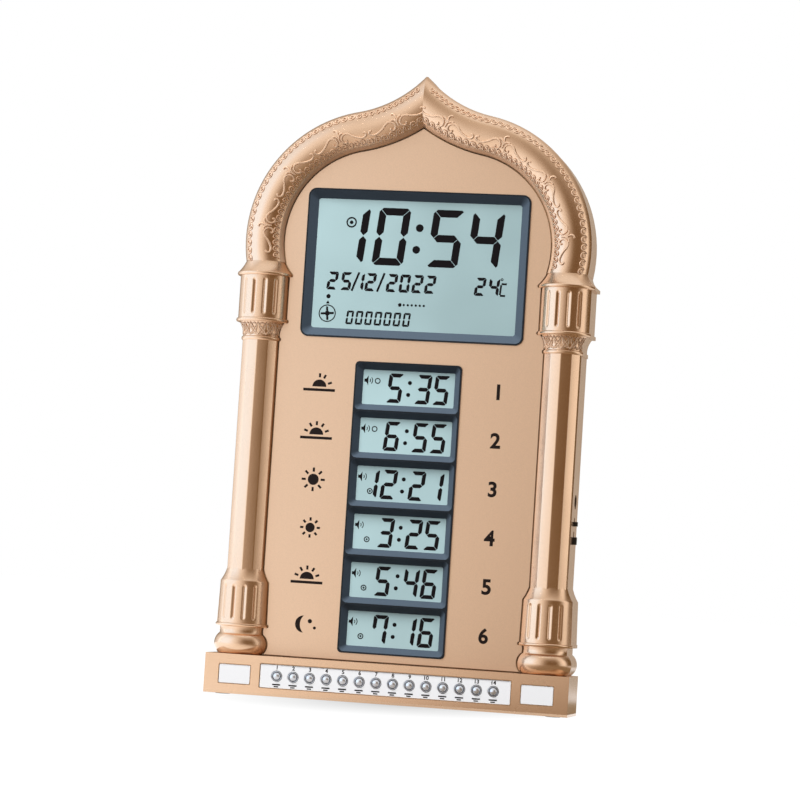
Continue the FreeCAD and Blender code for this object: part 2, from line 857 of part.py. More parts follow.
def prayer_bezel():
    """The tall frame with six windows, one above the other."""
    height = prayer_top - prayer_bottom
    front = face_y - frame_proud
    flange = rounded_plate(0, prayer_middle, prayer_width, height, prayer_corner, front, face_y)
    inset = 2 * (bezel_lap + clearance)
    collar = rounded_plate(0, prayer_middle, prayer_width - inset, height - inset,
                           prayer_corner - bezel_lap, face_y, glass_y)
    holes = [sloped_window(0, z, window_width, window_height, window_corner, window_slope, front, glass_y)
             for z in window_middles()]
    return without(joined([flange, collar]), holes)


def display_glass(x_size, z_size, middle):
    """A liquid-crystal glass behind its frame."""
    return box(-x_size / 2, x_size / 2, glass_y, glass_back_y, middle - z_size / 2, middle + z_size / 2)


def main_stack():
    """The main glass, its light guide and the two rubber connector strips."""
    x_size = main_view_width + 2 * glass_lap
    z_size = main_view_height + 2 * glass_lap
    glass = display_glass(x_size, z_size, main_middle)
    light_half = z_size / 2 - strip_width - 2 * clearance
    half_x = main_view_width / 2
    light = box(-half_x, half_x, glass_back_y, board_y, main_middle - light_half, main_middle + light_half)
    strips = []
    for side in (-1, 1):
        middle = main_middle + side * (z_size - strip_width) / 2
        low, high = middle - strip_width / 2, middle + strip_width / 2
        strips.append(box(-half_x, half_x, glass_back_y, board_y, low, high))
    return glass, light, strips


def prayer_stack(middle):
    """One small glass, its light guide and its rubber connector strip."""
    x_size = window_width + 2 * window_glass_lap
    z_size = window_height + 2 * window_glass_lap
    half_x = window_width / 2
    low = middle - z_size / 2
    strip = box(-half_x, half_x, glass_back_y, board_y, low, low + strip_width)
    light = box(-half_x, half_x, glass_back_y, board_y,
                low + strip_width + 2 * clearance, middle + window_height / 2)
    return display_glass(x_size, z_size, middle), light, strip


def display_board(bezel_width, low, high):
    """A circuit board on the panel's posts, with a screw hole over each post."""
    half_x = bezel_width / 2 + 2 * small_boss_radius + board_margin
    board = box(-half_x, half_x, board_y, board_back_y, low - board_margin, high + board_margin)
    holes = [rod_y(x, z, small_screw_radius + clearance, board_y - past, board_back_y + past)
             for x, z in board_posts()]
    return without(board, holes)


def board_parts():
    """The parts on the boards' backs: the sealed chip, its crystal and two capacitors."""
    return [rod_y(x, main_middle + rise, radius, board_back_y, board_back_y + height)
            for x, rise, radius, height in parts_on_board]


def key_ribbon():
    """The flat cable from the key board, back through the plinth's hatch and up to the small boards."""
    half, thickness = ribbon_width / 2, ribbon_thickness
    start_y = key_board_y + board_thickness
    turn_z = key_height + ribbon_rise
    rise_y = board_back_y + 2 * thickness
    top_z = prayer_bottom + ribbon_rise
    lengths = [
        (start_y, start_y + thickness, turn_z - ribbon_lap, turn_z),
        (start_y, rise_y, turn_z - thickness, turn_z),
        (rise_y - thickness, rise_y, turn_z - thickness, top_z),
        (board_back_y, rise_y, top_z - thickness, top_z),
        (board_back_y, board_back_y + thickness, top_z - thickness, top_z + ribbon_lap),
    ]
    return joined([box(-half, half, y0, y1, z0, z1) for y0, y1, z0, z1 in lengths])


# ---------------------------------------------------------------- rear
def grille_places():
    """The sound holes' places, in rings."""
    places = [(0.0, speaker_middle)]
    for ring in range(1, grille_rings):
        for index in range(6 * ring):
            angle = math.pi * index / (3 * ring)
            reach = ring * grille_pitch
            places.append((reach * math.cos(angle), speaker_middle + reach * math.sin(angle)))
    return places


def speaker_screw_places():
    """The loudspeaker's three screws."""
    reach = speaker_radius + speaker_screw_reach
    angles = [math.radians(a) for a in (30, 150, 270)]
    return [(reach * math.cos(a), speaker_middle + reach * math.sin(a)) for a in angles]


def cover_screw_places():
    """Every screw that comes in through the rear cover."""
    return arch_post_places() + [(side * plinth_post_x, key_height) for side in (-1, 1)]


def battery_limits(grow):
    """The battery box's inside, as x0, x1, z0, z1, grown all round."""
    return (battery_box_x - battery_inner_x - grow, battery_box_x + battery_inner_x + grow,
            battery_box_low - grow, battery_box_high + grow)


def rear_cover():
    """The flat cover: sound holes, hanging slot, and openings for the battery box and the stand."""
    plate = both_halves(cavity_outline(clearance, cover_bottom, cover_y), cover_thickness)
    foot_x = half_width - wall - clearance
    foot_part = box(-foot_x, foot_x, cover_y, back_y, cover_bottom, plinth_height - wall - clearance)
    lug_y = cover_y - speaker_rim_thickness
    lugs = [rod_y(x, z, small_boss_radius, lug_y, cover_y) for x, z in speaker_screw_places()]
    plate = joined([plate, foot_part] + lugs)
    screw_end = back_y - speaker_screw_cover
    near, far = cover_y - past, back_y + past
    cuts = [rod_y(x, z, grille_hole, near, far) for x, z in grille_places()]
    for x, z in speaker_screw_places():
        cuts.append(rod_y(x, z, small_screw_radius + thread_slack, lug_y - past, screw_end))
    for x, z in cover_screw_places():
        cuts.append(rod_y(x, z, screw_radius + clearance, near, far))
        cuts.append(rod_y(x, z, screw_head_radius + screw_head_gap, back_y - screw_head_height, far))
    cuts.append(rod_y(0, hang_height, hang_entry_radius, near, far))
    slot_top = hang_height + hang_slot_length
    cuts.append(box(-hang_slot_radius, hang_slot_radius, near, far, hang_height, slot_top))
    cuts.append(rod_y(0, slot_top, hang_slot_radius, near, far))
    x0, x1, z0, z1 = battery_limits(battery_wall)
    cuts.append(box(x0, x1, near, far, z0, z1))
    cuts.append(rod_y(battery_box_x, z1, door_notch_radius, back_y - door_notch_depth, far))
    frame_x = pocket_half + pocket_wall + clearance
    frame_top = pocket_top + pocket_wall + clearance
    cuts.append(box(-frame_x, frame_x, near, far, 0, frame_top))
    return without(plate, cuts)


def tab_places():
    """The battery door's two hinge tabs, along X."""
    return [battery_box_x + side * tab_spread / 2 for side in (-1, 1)]


def battery_box():
    """The box for the cells, with a flange against the cover and slots for the door's tabs."""
    x0, x1, z0, z1 = battery_limits(battery_wall)
    body = box(x0, x1, battery_floor - battery_wall, cover_y, z0, z1)
    x0, x1, z0, z1 = battery_limits(battery_wall + battery_flange)
    flange = box(x0, x1, cover_y - battery_wall, cover_y, z0, z1)
    x0, x1, z0, z1 = battery_limits(0)
    room = box(x0, x1, battery_floor, back_y, z0, z1)
    cuts = [room]
    half = tab_width / 2 + clearance
    low = battery_box_low - battery_wall - battery_flange - past
    swing_y = cover_y - tab_reach - tab_swing_gap
    for x in tab_places():
        cuts.append(box(x - half, x + half, swing_y, back_y, low, battery_box_low + past))
    return without(joined([body, flange]), cuts)


def battery_door():
    """The snap-in door, which turns out about its two lower tabs."""
    x0, x1, z0, z1 = battery_limits(battery_wall - door_gap)
    seat_y = cover_y + door_seat_gap
    root_y = cover_y - tab_reach
    leaf = box(x0, x1, seat_y, back_y, z0, z1)
    tabs = []
    half = tab_width / 2 - clearance
    for x in tab_places():
        tabs.append(box(x - half, x + half, root_y, seat_y, z0 + tab_gap, z0 + tab_root))
        tabs.append(box(x - half, x + half, root_y, cover_y - tab_gap, z0 - tab_reach, z0 + tab_root))
    middle = battery_box_x
    hook_top = battery_box_high - hook_gap
    tabs.append(box(middle - half, middle + half, root_y, seat_y, hook_top - hook_height, hook_top))
    grooves = [rod_y(middle, z1, door_grip_radius, back_y - door_grip_depth, back_y + past)]
    for index in range(rib_count):
        low = z1 - door_grip_radius - (index + 1) * rib_pitch
        grooves.append(box(middle - rib_length / 2, middle + rib_length / 2, back_y - rib_depth,
                           back_y + past, low, low + rib_width))
    return without(joined([leaf] + tabs), grooves)


def battery_contacts():
    """A plate at each end of each cell, and a coil spring, as a tapered sleeve, at its flat end."""
    solids = []
    cell_y = battery_floor + battery_radius
    half = contact_size / 2
    for index in range(battery_count):
        x = battery_box_x + (index - (battery_count - 1) / 2) * battery_pitch
        for at_top in (False, True):
            z0 = battery_box_high - contact_thickness if at_top else battery_box_low
            z1 = z0 + contact_thickness
            solids.append(box(x - half, x + half, cell_y - half, cell_y + half, z0, z1))
            sprung = (index % 2 == 0) != at_top
            if not sprung:
                continue
            way = -1 if at_top else 1
            start = z0 if at_top else z1
            cones = [Part.makeCone(spring_foot_radius - inset, spring_tip_radius - inset, spring_height,
                                   V(x, cell_y, start), V(0, 0, way)) for inset in (0, spring_wire)]
            solids[-1] = joined([solids[-1], without(cones[0], [cones[1]])])
    return solids


def stand_bracket():
    """The tray that takes the folded leg and bears its pin."""
    bottom = cover_bottom
    side_x = pocket_half + pocket_wall
    top = pocket_top + pocket_wall
    body = box(-side_x, side_x, pocket_y - pocket_wall, back_y, bottom, top)
    flange_x = side_x + battery_flange
    flange = box(-flange_x, flange_x, cover_y - battery_wall, cover_y, bottom, top + battery_flange)
    room = box(-pocket_half, pocket_half, pocket_y, back_y + past, bottom + pocket_wall, pocket_top)
    bore_x = side_x - pin_end_wall
    bore = rod_x(pin_y, leg_hinge_z, leg_pin_radius + thread_slack, -bore_x, bore_x)
    return without(joined([body, flange]), [room, bore])


def stand_leg():
    """The leg, folded into its tray, with a shallow grip near its free end."""
    half = leg_width / 2
    blade = box(-half, half, leg_y, leg_y + leg_thickness, leg_bottom, leg_hinge_z)
    knuckle = rod_x(pin_y, leg_hinge_z, leg_thickness / 2, -half, half)
    bore = rod_x(pin_y, leg_hinge_z, leg_pin_radius + leg_play, -half - past, half + past)
    floor_y = leg_y + leg_thickness - leg_recess
    grip_low = leg_bottom + leg_grip_inset
    grip_high = grip_low + leg_grip_height
    grip = box(-half / 2, half / 2, floor_y, back_y, grip_low, grip_high)
    panel = box(-half + leg_border, half - leg_border, floor_y, back_y,
                grip_high + leg_grip_height, leg_hinge_z - leg_recess_end)
    return without(joined([blade, knuckle]), [bore, grip, panel])


def stand_pin():
    """The leg's steel pin."""
    half = pocket_half + pocket_wall - pin_end_wall
    return rod_x(pin_y, leg_hinge_z, leg_pin_radius, -half, half)


# ---------------------------------------------------------------- loudspeaker
def revolved(points):
    """A solid turned about the loudspeaker's axis from (radius, y) points."""
    corners = [V(radius, y, speaker_middle) for radius, y in points]
    face = Part.Face(Part.makePolygon(corners + [corners[0]]))
    return face.revolve(V(0, 0, speaker_middle), V(0, 1, 0), 360)


def speaker():
    """The loudspeaker as its frame, its magnet and its cone."""
    rim_y = cover_y - speaker_rim_thickness
    magnet_y = cover_y - speaker_depth
    shoulder_y = magnet_y + magnet_plate
    plate_y = shoulder_y + magnet_thickness
    sheet_y = plate_y + basket_sheet
    rim_inner = speaker_radius - speaker_rim_width
    foot_radius = magnet_radius + basket_lap
    frame = revolved([
        (speaker_radius, cover_y), (speaker_radius, rim_y), (speaker_radius - basket_inset, rim_y),
        (foot_radius, sheet_y), (foot_radius, plate_y), (coil_hole, plate_y), (coil_hole, sheet_y),
        (foot_radius - basket_sheet, sheet_y), (speaker_radius - basket_inset - basket_sheet, rim_y),
        (rim_inner, rim_y), (rim_inner, cover_y),
    ])
    inner = magnet_radius - magnet_plate
    magnet = revolved([(0, magnet_y), (inner, magnet_y), (inner, shoulder_y), (magnet_radius, shoulder_y),
                       (magnet_radius, plate_y), (0, plate_y)])
    coil_y = rim_y - cone_sink
    front = [
        (0, coil_y + dust_cap_rise), (dust_cap_radius, coil_y + 0.7 * dust_cap_rise), (coil_radius, coil_y),
        (rim_inner - surround_width, rim_y - surround_sink), (rim_inner - surround_crest, rim_y - cone_sheet),
        (rim_inner + surround_lap, rim_y),
    ]
    cone = revolved(front + [(radius, y - cone_sheet) for radius, y in reversed(front)])
    low_y = coil_y - coil_length
    former = without(rod_y(0, speaker_middle, coil_radius + cone_sheet, low_y, coil_y),
                     [rod_y(0, speaker_middle, coil_radius, low_y - past, coil_y + past)])
    return frame, magnet, joined([cone, former])


def speaker_screws():
    """Three screws whose wide heads hold the loudspeaker's rim."""
    screws = []
    for x, z in speaker_screw_places():
        seat_y = cover_y - speaker_rim_thickness
        screws.append(joined([
            rod_y(x, z, speaker_washer_radius, seat_y - small_head_height, seat_y),
            rod_y(x, z, small_screw_radius, seat_y, back_y - speaker_screw_cover),
        ]))
    return screws


# ---------------------------------------------------------------- side controls
def dc_socket():
    """The power socket: its body on the side board and its nose in the side wall, bored for a plug."""
    back = side_board_x + board_thickness
    half = socket_body / 2
    face_x = wall_line - clearance
    nose_end = wall_line + wall - socket_recess
    body = box(back, face_x, control_y - half, control_y + half, socket_height - half, socket_height + half)
    nose = rod_x(control_y, socket_height, socket_hole - clearance, face_x, nose_end)
    bore = rod_x(control_y, socket_height, socket_bore, back + socket_base, nose_end + past)
    return without(joined([body, nose]), [bore])


def socket_pin():
    """The power socket's centre pin, on the floor of its bore."""
    floor = side_board_x + board_thickness + socket_base
    end = wall_line + wall - socket_recess - socket_pin_recess
    return rod_x(control_y, socket_height, socket_pin_radius, floor, end)


def slide_switch(z, travel):
    """A slide switch body with the slot that its knob's tail runs in."""
    back = side_board_x + board_thickness
    front = back + slide_switch_height
    middle = z + travel / 2

    def block(x0, x1, half_y, end):
        half_z = travel / 2 + end
        return box(x0, x1, control_y - half_y, control_y + half_y, middle - half_z, middle + half_z)

    slot = block(back + slide_slot_floor, front + past, slide_slot_half_width, slide_slot_end)
    return without(block(back, front, slide_switch_half_width, slide_switch_end), [slot])


def slide_knob(z, length):
    """A slide knob: the nub outside, the flange inside the wall and the tail into its switch."""
    flange_x = wall_line - 2 * clearance
    flange_back = flange_x - knob_flange
    outside = wall_line + wall + knob_reach
    tail_x = side_board_x + board_thickness + slide_switch_height - knob_tail_entry

    def block(x0, x1, half_y, half_z):
        return box(x0, x1, control_y - half_y, control_y + half_y, z - half_z, z + half_z)

    return joined([
        block(flange_x - lap, outside, knob_width / 2, length / 2),
        block(flange_back, flange_x, knob_width / 2 + knob_flange_lap, length / 2 + knob_flange_lap),
        block(tail_x, flange_back, knob_tail_half_width, knob_tail_half_height),
    ])


def side_board():
    """The small board behind the side wall."""
    board = box(side_board_x, side_board_x + board_thickness, control_y - side_board_half,
                control_y + side_board_half, side_board_low, side_board_high)
    holes = [rod_x(control_y, z, small_screw_radius + clearance, side_board_x - past,
                   side_board_x + board_thickness + past) for z in side_post_heights()]
    return without(board, holes)


def side_post_heights():
    """Heights of the side board's two posts."""
    return [side_board_low + side_post_inset, side_board_high - side_post_inset]


# ---------------------------------------------------------------- fasteners
def cover_screws():
    """The screws through the rear cover."""
    screws = []
    for x, z in cover_screw_places():
        seat_y = back_y - screw_head_height
        screws.append(joined([
            rod_y(x, z, screw_head_radius, seat_y, back_y),
            rod_y(x, z, screw_radius, cover_y - screw_length + pilot_spare, seat_y),
        ]))
    return screws


def board_screws():
    """The small screws that hold the boards."""
    screws = []
    key_back = key_board_y + board_thickness
    places = [(x, z, board_back_y) for x, z in board_posts()]
    places += [(side * key_post_x, key_height, key_back) for side in (-1, 1)]
    for x, z, seat_y in places:
        screws.append(joined([
            rod_y(x, z, small_head_radius, seat_y, seat_y + small_head_height),
            rod_y(x, z, small_screw_radius, seat_y - small_screw_length, seat_y),
        ]))
    for z in side_post_heights():
        seat_x = side_board_x
        screws.append(joined([
            rod_x(control_y, z, small_head_radius, seat_x - small_head_height, seat_x),
            rod_x(control_y, z, small_screw_radius, seat_x, seat_x + small_screw_length),
        ]))
    return screws


# ---------------------------------------------------------------- build
os.makedirs("parts", exist_ok=True)

save("front_case", [front_case()])
save("front_panel", [front_panel()])
save("plinth", [plinth()])
save("rubber_feet", [foot(x, y) for x, y in foot_places()])
column = right_column()
save("right_column", [column])
save("left_column", [mirrored(column)])
arch = right_arch()
save("right_arch", [arch])
save("left_arch", [mirrored(arch)])
save("end_plates", [end_plate(-1), end_plate(1)])

save("key_strip", [key_strip()])
for number, place in enumerate(key_places(), 1):
    save("button_%02d" % number, [key(place)])
save("key_switches", [key_switch(place) for place in key_places()])
save("key_board", [key_board()])
save("key_ribbon", [key_ribbon()])

main_glass, main_light, connector_strips = main_stack()
save("main_bezel", [main_bezel()])
save("main_display", [main_glass])
save("prayer_bezel", [prayer_bezel()])
light_guides = [main_light]
for number, place in enumerate(window_middles(), 1):
    small_glass, small_light, small_strip = prayer_stack(place)
    save("prayer_display_%d" % number, [small_glass])
    light_guides.append(small_light)
    connector_strips.append(small_strip)
save("light_guides", light_guides)
save("connector_strips", connector_strips)
save("main_board", [display_board(main_width, main_bottom, main_top)])
save("prayer_board", [display_board(prayer_width, prayer_bottom, prayer_top)])
save("board_parts", board_parts())

save("rear_cover", [rear_cover()])
save("battery_box", [battery_box()])
save("battery_door", [battery_door()])
save("battery_contacts", battery_contacts())
save("stand_bracket", [stand_bracket()])
save("stand_leg", [stand_leg()])
save("stand_pin", [stand_pin()])

speaker_frame, speaker_magnet, speaker_cone = speaker()
save("speaker_frame", [speaker_frame])
save("speaker_magnet", [speaker_magnet])
save("speaker_cone", [speaker_cone])
save("speaker_screws", speaker_screws())

save("dc_socket", [dc_socket()])
save("socket_pin", [socket_pin()])
save("slide_switches", [slide_switch(volume_height, volume_travel), slide_switch(light_height, light_travel)])
save("volume_knob", [slide_knob(volume_height, volume_knob_length)])
save("light_knob", [slide_knob(light_height, light_knob_length)])
save("side_board", [side_board()])

save("cover_screws", cover_screws())
save("board_screws", board_screws())
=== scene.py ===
"""Builds the visible pieces of an arch-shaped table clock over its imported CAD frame."""
from math import asin, atan2, cos, degrees, hypot, pi, radians, sin, sqrt, tan

import bmesh
import bpy
from bpy.props import FloatProperty, FloatVectorProperty, IntProperty, PointerProperty
from bpy.types import Operator, Panel, PropertyGroup
from mathutils import Matrix, Vector


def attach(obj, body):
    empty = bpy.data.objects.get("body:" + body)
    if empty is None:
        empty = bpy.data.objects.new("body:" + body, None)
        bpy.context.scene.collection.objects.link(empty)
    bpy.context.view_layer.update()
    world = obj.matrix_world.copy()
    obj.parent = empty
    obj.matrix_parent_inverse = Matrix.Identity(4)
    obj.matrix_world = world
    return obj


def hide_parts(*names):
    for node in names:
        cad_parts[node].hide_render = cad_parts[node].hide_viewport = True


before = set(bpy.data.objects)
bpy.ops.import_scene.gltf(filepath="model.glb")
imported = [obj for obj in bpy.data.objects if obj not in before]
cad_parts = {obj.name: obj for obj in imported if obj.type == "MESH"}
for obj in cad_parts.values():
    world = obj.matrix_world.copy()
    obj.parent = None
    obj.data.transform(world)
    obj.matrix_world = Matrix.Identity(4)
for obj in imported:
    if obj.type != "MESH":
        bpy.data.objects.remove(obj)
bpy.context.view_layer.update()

bl_info = {
    "name": "Arch Clock",
    "version": (1, 0, 0),
    "blender": (4, 5, 0),
    "location": "3D View > Sidebar > Arch Clock",
    "description": "Builds an arch-shaped table clock over its CAD frame",
    "category": "Object",
}

# ---------------------------------------------------------------- sizes of the frame, in millimetres
MM = 0.001


def limit(node, which, axis):
    """Where a CAD node begins (min) or ends (max) along x, y or z, in millimetres."""
    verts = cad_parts[node].data.vertices
    return round(which(vert.co["xyz".index(axis)] for vert in verts) / MM, 3)


def midway(node, axis):
    """The middle of a CAD node along x, y or z, in millimetres."""
    return (limit(node, min, axis) + limit(node, max, axis)) / 2


face_y = limit("front_panel", min, "y")     # the panel's face
glass_y = limit("main_display", min, "y")
front_y = limit("plinth", min, "y")
strip_y = limit("key_strip", min, "y")
plinth_top = limit("plinth", max, "z")
arch_foot_z = limit("right_arch", min, "z")
column_x = midway("right_column", "x")
row_count = 6
row_pitch = midway("prayer_display_1", "z") - midway("prayer_display_2", "z")
first_row = midway("prayer_display_1", "z")
key_count = 14
key_pitch = (midway("button_14", "x") - midway("button_01", "x")) / (key_count - 1)
key_z = midway("button_01", "z")
axis_y = -0.15                  # axis of the columns and middle of the arch's tube
haunch_x, haunch_z = 24.8, 269.85
haunch_radius = hypot(column_x - haunch_x, haunch_z - arch_foot_z)
tube_reach = 11.65              # half the tube's width at the panel's face
tube_radius = hypot(tube_reach, axis_y - face_y)
crown_turn = radians(11.2)      # from upright to where the haunch passes into the crown
apex_half = radians(48)
tip_z = 369.25                  # the crown's tip is a little blunt
foot_turn = asin((arch_foot_z - haunch_z) / haunch_radius)
foot_drum = 41.6, 66.2          # foot and top of a column's fluted drums, and of its throat
head_drum = 221.85, 247.25
throat = 211.15, 219.75
shaft_reach, shaft_foot, shaft_top = 10.93, 73.0, 209.5
main_window = 131.4, 86.3, 3.8, 0, 257.0            # width, height, corner, middle across and up
tall_window = 61.7, 169.05, 1.5, 0, 113.925
mark_lift, figure_drop = 0.4, 8.75                  # marks and figures' feet, from a row's middle
screw_top = 18.8
panel_sheet = 0.6               # thickness of the panel over its bed
ink = 0.04                      # how far print and segments stand proud, and how deep they go


def linear(code):
    """Turns an sRGB hex colour into the linear one that a socket takes."""
    parts = [int(code[i:i + 2], 16) / 255 for i in (1, 3, 5)]
    return [p / 12.92 if p <= 0.04045 else ((p + 0.055) / 1.055) ** 2.4 for p in parts]


# ---------------------------------------------------------------- what a user may change
def colour(name, code, description):
    return FloatVectorProperty(name=name, subtype="COLOR", size=3, min=0, max=1,
                               default=linear(code), description=description)


def length(name, millimetres, description):
    return FloatProperty(name=name, unit="LENGTH", subtype="DISTANCE", min=0, precision=5,
                         default=millimetres * MM, description=description)


class ClockColours(PropertyGroup):
    """Colours of the finishes."""
    paint: colour("Case paint", "#E6C2A2", "Metallic paint on the mouldings, the case and the plinth")
    panel: colour("Panel paint", "#EBC8A8", "Satin metallic paint on the flat panel")
    frames: colour("Display frames", "#48535F", "Slate plastic of the display frames")
    glass: colour("Display glass", "#ABC6C9", "Polariser of the liquid-crystal glasses")
    figures: colour("Figures", "#0F0C0E", "Lit segments of the displays")
    white: colour("White trim", "#FAFAFC", "Plastic of the key strip and the end plates")
    print: colour("Printing", "#1B1412", "Ink of the marks on the panel and the key strip")
    cover: colour("Rear cover", "#1D1D1F", "Plastic of the rear cover, the battery box and the stand")


class ClockSizes(PropertyGroup):
    """Sizes of the details."""
    panel_gap: length("Panel gap", 0.7, "Groove between the panel and the mouldings")
    edge_chamfer: length("Edge chamfer", 0.45, "Chamfer of the plinth's edges")
    line_width: length("Scroll line width", 1.25, "Width of the scrollwork's raised lines")
    line_rise: length("Scroll line rise", 0.95, "Height of the scrollwork's raised lines")
    figure_height: length("Time figure height", 34.2, "Height of the main display's time")
    figure_stroke: length("Time figure stroke", 4.5, "Width of a segment of the main display's time")
    curl_pitch: length("Edge curl pitch", 4.2, "Spacing of the small curls along the arch's edges")
    turn_steps: IntProperty(name="Turning steps", default=320, min=48, max=720,
                            description="Steps of a full turn on the turned mouldings")


def colours():
    return bpy.context.scene.clock_colours


def size(name):
    """One of the sizes, in millimetres."""
    return getattr(bpy.context.scene.clock_sizes, name) / MM


# ---------------------------------------------------------------- materials
def add(tree, kind, sockets=None, into=None, **settings):
    """Adds a node. Each socket takes a value or another node's output; the result may go into a socket."""
    node = tree.nodes.new(kind)
    for name, value in settings.items():
        setattr(node, name, value)
    for name, value in (sockets or {}).items():
        if isinstance(value, bpy.types.NodeSocket):
            tree.links.new(value, node.inputs[name])
        else:
            node.inputs[name].default_value = value
    if into:
        tree.links.new(next(output for output in node.outputs if output.enabled), into)
    return node


def blank(owner):
    """The emptied node tree of a material or a world."""
    owner.use_nodes = True
    owner.node_tree.nodes.clear()
    return owner.node_tree


def begin(name, base, metallic, roughness, **sockets):
    """A new material: its tree, its shader and the place on the object, in metres."""
    material = bpy.data.materials.new(name)
    tree = blank(material)
    values = {"Base Color": (*base, 1), "Metallic": metallic, "Roughness": roughness}
    values.update({key.replace("_", " "): value for key, value in sockets.items()})
    shader = add(tree, "ShaderNodeBsdfPrincipled", values)
    add(tree, "ShaderNodeOutputMaterial", {"Surface": shader.outputs[0]})
    place = add(tree, "ShaderNodeTexCoord").outputs["Object"]
    return material, tree, shader, place


def shade(base, factor):
    return (*[min(1, channel * factor) for channel in base[:3]], 1)


def grain(tree, shader, base, pattern, low, high, depth=0.0, strength=1.0):
    """Shades the base colour by a pattern, from low to high, and raises the surface by millimetres."""
    add(tree, "ShaderNodeMix", {0: pattern, 6: shade(base, low), 7: shade(base, high)},
        shader.inputs["Base Color"], data_type="RGBA")
    if depth:
        add(tree, "ShaderNodeBump", {"Height": pattern, "Distance": depth * MM, "Strength": strength},
            shader.inputs["Normal"])


def case_paint(name, metallic, roughness):
    """ABS moulding, sprayed with rose-gold metallic paint and a clear coat: a soft, warm mirror."""
    base = colours().paint[:]
    material, tree, shader, place = begin(name, base, metallic, roughness,
                                          Coat_Weight=0.5, Coat_Roughness=0.14)
    # Flakes are 0.05 mm in the tin, and are drawn at 0.35 mm so that they show.
    flakes = add(tree, "ShaderNodeTexNoise", {"Vector": place, "Scale": 1 / (0.35 * MM), "Detail": 2.0})
    grain(tree, shader, base, flakes.outputs[0], 0.86, 1.13)
    # The spray dries with the faint ripple of orange peel, about 1.8 mm across.
    peel = add(tree, "ShaderNodeTexNoise", {"Vector": place, "Scale": 1 / (1.8 * MM), "Detail": 1.0})
    add(tree, "ShaderNodeBump", {"Height": peel.outputs[0], "Distance": 0.012 * MM, "Strength": 0.5},
        shader.inputs["Normal"])
    patches = add(tree, "ShaderNodeTexNoise", {"Vector": place, "Scale": 1 / (30 * MM), "Detail": 2.0})
    add(tree, "ShaderNodeMapRange", {"Value": patches.outputs[0], "From Min": 0.3, "From Max": 0.7,
                                     "To Min": roughness - 0.03, "To Max": roughness + 0.03},
        shader.inputs["Roughness"])
    return material


def panel_satin():
    """ABS sheet, sprayed with a satin metallic paint: an even tone that shades slowly across the panel."""
    base = colours().panel[:]
    material, tree, shader, place = begin("sprayed satin metallic paint", base, 0.95, 0.42,
                                          Coat_Weight=0.9, Coat_Roughness=0.3)
    flakes = add(tree, "ShaderNodeTexNoise", {"Vector": place, "Scale": 1 / (0.4 * MM), "Detail": 3.0})
    grain(tree, shader, base, flakes.outputs[0], 0.88, 1.11, 0.01, 0.35)
    return material


def display_glass(share=1.0):
    """Polariser film on liquid-crystal glass: pale blue-green and satin, with a painted shade that darkens
    it to the right.
    """
    base = shade(colours().glass, share)[:3]
    material, tree, shader, place = begin("laminated polariser film", base, 0.0, 0.42, IOR=1.49)
    # The cell's clouding is about 45 mm across; over 130 mm a painted shade darkens the film to the right.
    cloud = add(tree, "ShaderNodeTexNoise", {"Vector": place, "Scale": 1 / (45 * MM), "Detail": 1.0})
    along = add(tree, "ShaderNodeSeparateXYZ", {"Vector": place})
    depth = add(tree, "ShaderNodeMapRange", {"Value": along.outputs["X"], "From Min": -65 * MM,
                                             "From Max": 65 * MM, "To Min": 0.25, "To Max": -0.5})
    cloud_and_painted_shade = add(tree, "ShaderNodeMath", {0: cloud.outputs[0], 1: depth.outputs[0]}, operation="ADD")
    grain(tree, shader, base, cloud_and_painted_shade.outputs[0], 0.7, 1.0)
    # The film's fine tooth, about 0.3 mm.
    tooth = add(tree, "ShaderNodeTexNoise", {"Vector": place, "Scale": 1 / (0.3 * MM)})
    add(tree, "ShaderNodeBump", {"Height": tooth.outputs[0], "Distance": 0.004 * MM, "Strength": 0.3},
        shader.inputs["Normal"])
    return material


def plated_caps():
    """ABS key caps with bright nickel and chrome plating: a small, slightly hazy mirror."""
    base = linear("#DDE2EA")
    material, tree, shader, place = begin("chrome-plated ABS", base, 0.8, 0.2)
    haze = add(tree, "ShaderNodeTexNoise", {"Vector": place, "Scale": 1 / (0.8 * MM), "Detail": 2.0})
    add(tree, "ShaderNodeMapRange", {"Value": haze.outputs[0], "To Min": 0.16, "To Max": 0.26},
        shader.inputs["Roughness"])
    grain(tree, shader, base, haze.outputs[0], 0.92, 1.04)
    return material


def moulded(name, base, roughness, grain_size, depth, contrast=0.25, **sockets):
    """A plain moulded, printed or pressed stuff with a grain of a size in millimetres."""
    material, tree, shader, place = begin(name, base, sockets.pop("Metallic", 0.0), roughness, **sockets)
    noise = add(tree, "ShaderNodeTexNoise", {"Vector": place, "Scale": 1 / (grain_size * MM), "Detail": 3.0})
    grain(tree, shader, base, noise.outputs[0], 1 - contrast, 1 + contrast, depth)
    return material


def cover_black():
    """Black ABS from a spark-eroded mould: a fine, even tooth that dulls the shine."""
    base = colours().cover[:]
    material, tree, shader, place = begin("spark-textured black ABS", base, 0.0, 0.5, IOR=1.53)
    # Sparks leave pits of about 0.7 mm.
    pits = add(tree, "ShaderNodeTexVoronoi", {"Vector": place, "Scale": 1 / (0.7 * MM)})
    grain(tree, shader, base, pits.outputs["Distance"], 1.4, 0.7, 0.035)
    return material


def board_green():
    """Glass-epoxy laminate under green solder mask: the glass cloth shows as a faint check."""
    base = linear("#1F5A38")
    material, tree, shader, place = begin("solder-masked glass-epoxy laminate", base, 0.0, 0.3,
                                          Coat_Weight=0.5)
    # The cloth's threads lie about 0.5 mm apart.
    check = add(tree, "ShaderNodeTexChecker", {"Vector": place, "Scale": 1 / (0.5 * MM)})
    grain(tree, shader, base, check.outputs["Fac"], 0.88, 1.1, 0.004)
    return material


